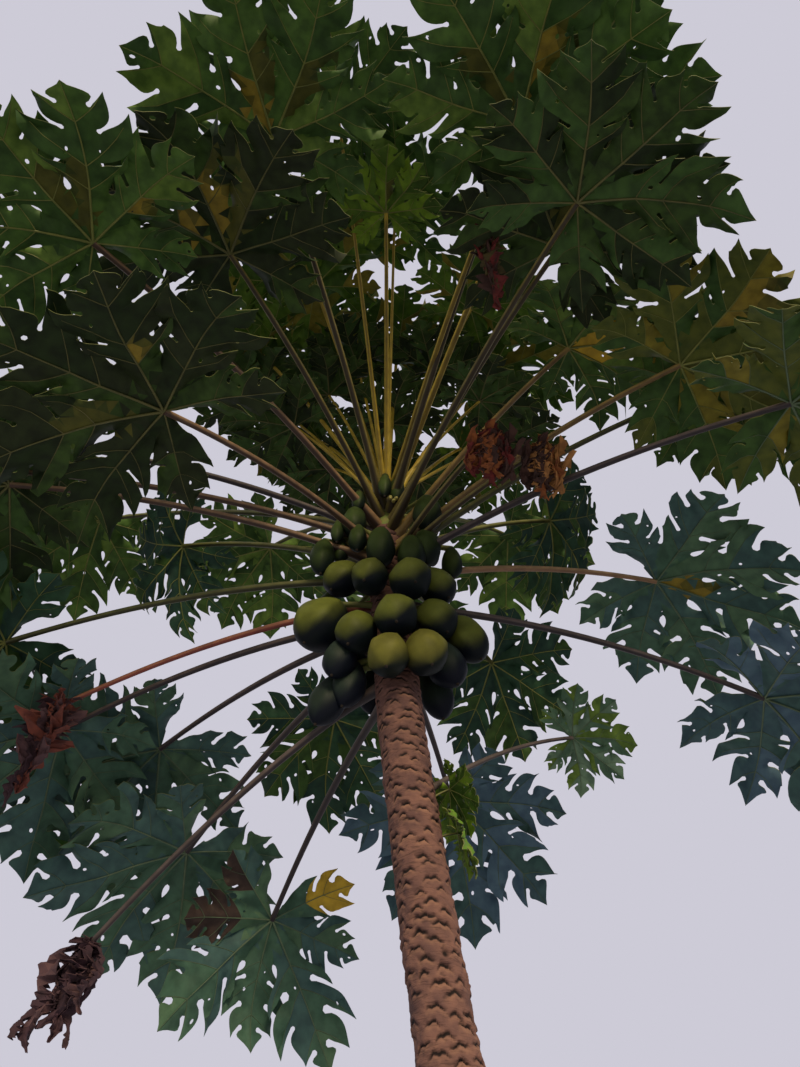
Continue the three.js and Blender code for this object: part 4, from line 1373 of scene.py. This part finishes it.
def unit_fruit(name, ribs, lean):
    """A fruit one unit long and one wide, hanging from its neck at the origin, with five blunt ribs."""
    # The rings lie closer together at both ends
    shares = [0.004, 0.02, 0.05] + [0.09 + 0.84 * i / (FRUIT_STEPS - 6) for i in range(FRUIT_STEPS - 5)]
    shares += [0.955, 0.975, 0.99, 0.998]
    turn, out = ring_directions(FRUIT_SIDES)
    # A ridge at each corner of a pentagon, with flatter skin between
    corner = np.cos(math.pi / 5) / np.cos(turn % (2 * math.pi / 5) - math.pi / 5)
    ridge = ribs * (np.clip((corner - 0.809) / 0.191, 0, 1) ** 1.4 - 0.35) + lean * np.cos(2 * turn + 1)
    points = []
    for t in shares[::-1]:
        radius = 0.5 * max(fruit_profile(t), 0.012)
        swell = 1 + math.sin(math.pi * t) ** 0.7 * ridge
        points.append(np.array([0, 0, -t]) + out * radius * swell[:, None])
    points = np.concatenate([*points, [[0, 0, -1.004], [0, 0, 0]]])
    return link_object(name, mesh_from(name, points / MM, closed_rings(len(shares), FRUIT_SIDES), []))


def fruit_place(row, hang):
    azimuth, height, distance, length, _, splay = row
    beside, before, stretch, _ = hang
    splay = splay * (beside + (before - beside) * abs(math.cos(math.radians(azimuth))))
    length = length * stretch
    out = heading(azimuth)
    down = heading(azimuth, splay - 90)
    middle = trunk_axis(height) + out * distance
    neck = middle - down * length / 2
    foot = trunk_axis(neck[2] + FRUIT_STALK_RISE) + out * FRUIT_STALK_FOOT
    return down, neck, foot, neck + down * length


def grow_fruit(name, rows, shape, material, seed, hang):
    places, turns, sizes = [], [], []
    for n, row in enumerate(rows):
        azimuth, _, _, length, width, _ = row
        down, neck, *_ = fruit_place(row, hang)
        length, width = length * hang[2], width * hang[3]
        side = heading(azimuth + 90)
        front = np.cross(side, down)
        basis = Matrix(np.stack([side, front, -down], 1).tolist())
        spin = Matrix.Rotation(math.radians(72 * chance(seed + n)), 3, "Z")
        places.append(neck)
        turns.append((basis @ spin).to_euler())
        sizes.append((width * MM, width * MM, length * MM))
    carrier = point_carrier(name, places, turns, sizes)
    values = {"Shape": shape, "Least Size": FRUIT_LEAST_SIZE, "Seed": seed, "Material": material}
    return grown(name, SCATTER, carrier, values)


# Scene


def add_camera():
    data = bpy.data.cameras.new("view")
    data.sensor_width = SENSOR
    data.lens = FOCAL_PIXELS / PHOTO_SIZE[1] * SENSOR
    data.clip_start = 0.02
    camera = link_object("view", data)
    camera.location = CAMERA_PLACE
    camera.rotation_euler = (math.radians(90 + CAMERA_PITCH), 0, 0)
    bpy.context.scene.camera = camera


def add_light():
    world = bpy.data.worlds.new("sky")
    bpy.context.scene.world = world
    world.use_nodes = True
    sky = world.node_tree.nodes["Background"]
    sky.inputs["Color"].default_value = colour(*SKY)
    sky.inputs["Strength"].default_value = 1.0
    data = bpy.data.lights.new("low_sun", "SUN")
    data.energy = SUN_STRENGTH
    data.angle = math.radians(SUN_SPREAD)
    data.color = SUN_COLOUR
    sun = link_object("low_sun", data)
    sun.rotation_mode = "QUATERNION"
    sun.rotation_quaternion = (-Vector(SUN_FROM)).to_track_quat("-Z", "Y")
    bpy.context.scene.view_settings.view_transform = "Standard"


def add_floor():
    points = FLOOR_SIZE * np.array([(-1, -1, 0), (1, -1, 0), (1, 1, 0), (-1, 1, 0)])
    material = surface("pale_floor", (186, 186, 188), (178, 178, 181), *FLOOR_FINISH)
    floor = link_object("floor", mesh_from("floor", points, [(0, 1, 2), (0, 2, 3)], [material]))


add_camera()
add_light()
add_floor()

bark = bark_material()
upper = bark_piece("trunk_bark_upper", BARK_SPLIT, TRUNK_TOP, BARK_ROWS, bark)
finish_piece(upper, "bark", "trunk")
lower = bark_piece("trunk_bark_lower", 0, BARK_SPLIT, BARK_ROWS, bark)
finish_piece(lower, "bark")

tip_material = surface("tip_green", (96, 116, 52), (120, 110, 60), *TIP_FINISH)
tip_line = (np.array([trunk_axis(h) for h, _ in TIP_RINGS]), np.array([r for _, r in TIP_RINGS]))
tip = tubes("tip_stem", [tip_line], TIP_SIDES, tip_material)

# Slot of each piece of blades, and the nodes that it replaces
leaf_names = [row[0] for row in LEAVES]
BLADE_PIECES = {
    "blades_left": ("leaf", *leaf_names[:LEFT_LEAVES]),
    "blades_right": ("leaf", *leaf_names[LEFT_LEAVES:]),
    "young_blades": ("young_leaf", "growing_tip"),
    "shoot_blades": ("young_leaf", "side_shoot"),
}
groups, leaf_surfaces, stalks, ribs = grow_leaves(*BLADE_PIECES)
for name, group in groups.items():
    finish_piece(group.piece(name, leaf_surfaces), *BLADE_PIECES[name])
finish_piece(tip, "young_leaf")

for kind, (base, blotch, above) in STALK_LOOKS.items():
    material = surface("stalk_" + kind, base, blotch, *STALK_FINISH, painted_lit=above)
    piece = tubes("leaf_stalks_" + kind, stalks[kind], STALK_SIDES, material)
    # Painted light on all but the downward faces, painted shade beneath
    paint_light_side(piece, (0, 0, 1), -0.86, -0.5)
    finish_piece(piece, "leaf")

RIB_LOOKS = {
    "pale": ((110, 114, 56), (78, 88, 42)),
    "tan": ((80, 98, 74), (62, 80, 60)),
    "dim": ((86, 86, 46), (58, 62, 34)),
}
for kind, (base, blotch) in RIB_LOOKS.items():
    material = surface("rib_" + kind, base, blotch, *RIB_FINISH)
    piece = tubes("leaf_ribs_" + kind, ribs[kind], RIB_SIDES, material)
    finish_piece(piece, "leaf")

# Painted shade of the skin, its blotches, painted light on the skin toward the light, and where the painted
# light begins and is full
FRUIT_LOOKS = {
    "full": ((9, 15, 24), (17, 25, 24), (98, 106, 44), 0.04, 0.68),
    "ripe": ((12, 19, 24), (24, 31, 25), (106, 106, 46), -0.4, 0.45),
    "shaded": ((11, 15, 27), (17, 23, 31), (40, 52, 44), 0.1, 0.8),
    "small": ((12, 21, 20), (19, 29, 22), (56, 72, 34), 0.0, 0.75),
}
# The lowest and hindmost fruit get darker skin: painted shade
SHADED_FRUIT = (13, 14, 15, 16, 17, 18, 21)  # numbers in the table, from 0: the lowest and hindmost
SMALL_FRUIT = (12, 18, 19, 20, 3)
# The two lowest fruit, whose painted light reaches further round the skin
BROADLY_LIT_FRUIT = (6, 7)
LIGHT_SIDE = (-0.33, -0.76, 0.56)
shapes = [unit_fruit("fruit_shape_1", 0.075, 0.03), unit_fruit("fruit_shape_2", 0.06, 0.05)]
kinds = {"full": [], "ripe": [], "shaded": list(HIND_FRUIT), "small": YOUNG_FRUIT + BUD_FRUIT}
sorts = [("small", SMALL_FRUIT), ("shaded", SHADED_FRUIT), ("ripe", BROADLY_LIT_FRUIT)]
for n, row in enumerate(FRUIT):
    kinds[next((kind for kind, members in sorts if n in members), "full")].append(row)
for seed, (kind, rows) in enumerate(kinds.items()):
    under, blotch, painted_light, first, full = FRUIT_LOOKS[kind]
    skin = surface("fruit_skin_" + kind, under, blotch, *FRUIT_FINISH, painted_lit=painted_light, gloss=0.08)
    for half, shape in enumerate(shapes):
        fruit = grow_fruit(f"{kind}_fruit_{half + 1}", rows[half::2], shape, skin, 4 + seed, FRUIT_HANG[kind])
        # Painted light on the faces turned to LIGHT_SIDE, painted shade on the rest
        paint_light_side(fruit, LIGHT_SIDE, first, full)
        replaced = range(len(FRUIT)) if kind == "full" and half == 0 else ()
        finish_piece(fruit, "fruit_skin", *[f"fruit_{n + 1:02d}" for n in replaced])
bud_skin = surface("flower_bud", (150, 144, 84), (118, 116, 58), *BUD_FINISH)
buds = grow_fruit("flower_buds", FLOWER_BUDS, shapes[1], bud_skin, 7, FRUIT_HANG["full"])
finish_piece(buds, "young_leaf")
for shape in shapes:
    bpy.data.objects.remove(shape)

# Fruit stalks, and the dark dry point at the end of each fruit
FRUIT_STALK_SHAPE = np.array([1.5, 1.1, 1.0, 1.0, 1.05, 1.3, 1.6])
SCAR_STEPS = np.array([-7.0, 0.0, 3.0])[:, None]
SCAR_RADII = np.array([5.0, 4.0, 2.0])
stalk_lines, scar_lines = [], []
for kind, rows in kinds.items():
    for row in rows:
        down, neck, foot, end = fruit_place(row, FRUIT_HANG[kind])
        stalk = quadratic(foot, neck - down * 4, neck + down * 12, len(FRUIT_STALK_SHAPE) - 1)
        stalk_lines.append((stalk, FRUIT_STALK_RADIUS * FRUIT_STALK_SHAPE))
        scar_lines.append((end + SCAR_STEPS * down, SCAR_RADII))
stalk_material = surface("fruit_stalk", (104, 112, 58), (84, 84, 48), *FRUIT_STALK_FINISH)
finish_piece(tubes("fruit_stalks", stalk_lines, FRUIT_STALK_SIDES, stalk_material), "fruit_skin")
scar_material = surface("blossom_scar", (30, 24, 18), (18, 15, 12), *BLOSSOM_SCAR_FINISH)
finish_piece(tubes("blossom_scars", scar_lines, FRUIT_STALK_SIDES, scar_material), "fruit_skin")

# Base and blotches of the shrivelled lobes of each withered leaf
DRY_LOOKS = {
    "crimson": ((98, 34, 32), (56, 22, 22)),
    "rust": ((130, 76, 38), (84, 46, 28)),
    "umber": ((62, 40, 34), (40, 27, 25)),
    "straw": ((156, 112, 62), (112, 76, 44)),
    "plum": ((62, 42, 50), (42, 29, 36)),
    "mauve": ((88, 64, 66), (62, 46, 52)),
    "brick": ((118, 64, 52), (82, 48, 44)),
    "drab": ((74, 66, 34), (48, 42, 26)),
}
# What the strips at the front, right, back and left are made of
DRY_MIX = {
    "withered_leaf_1": ("brick", "plum", "brick", "mauve"),
    "withered_leaf_2": ("mauve", "plum", "mauve", "plum"),
    "withered_leaf_3": ("umber", "straw", "rust", "umber"),
    "withered_leaf_3_left": ("rust", "umber", "crimson", "crimson"),
    "withered_leaf_4": ("drab", "drab", "umber", "crimson"),
}
dry = {kind: surface("dry_" + kind, *look, *DRY_FINISH) for kind, look in DRY_LOOKS.items()}
for name, foot, azimuth, rise, length, hang, width, toward, lean, strips, broadest in WITHERED:
    end = stalk_line(foot, azimuth, rise, length)[-1]
    points, faces, which = crumpled(end, hang, width, foot, heading(toward, lean - 90), strips, broadest)
    mix = [dry[kind] for kind in DRY_MIX[name]]
    piece = link_object(name + "_lobes", mesh_from(name + "_lobes", points, faces, mix, which, sharp=38))
    replaced = () if name in ("withered_leaf_4", "withered_leaf_3_left") else (name,)
    finish_piece(piece, "withered_leaf", *replaced)
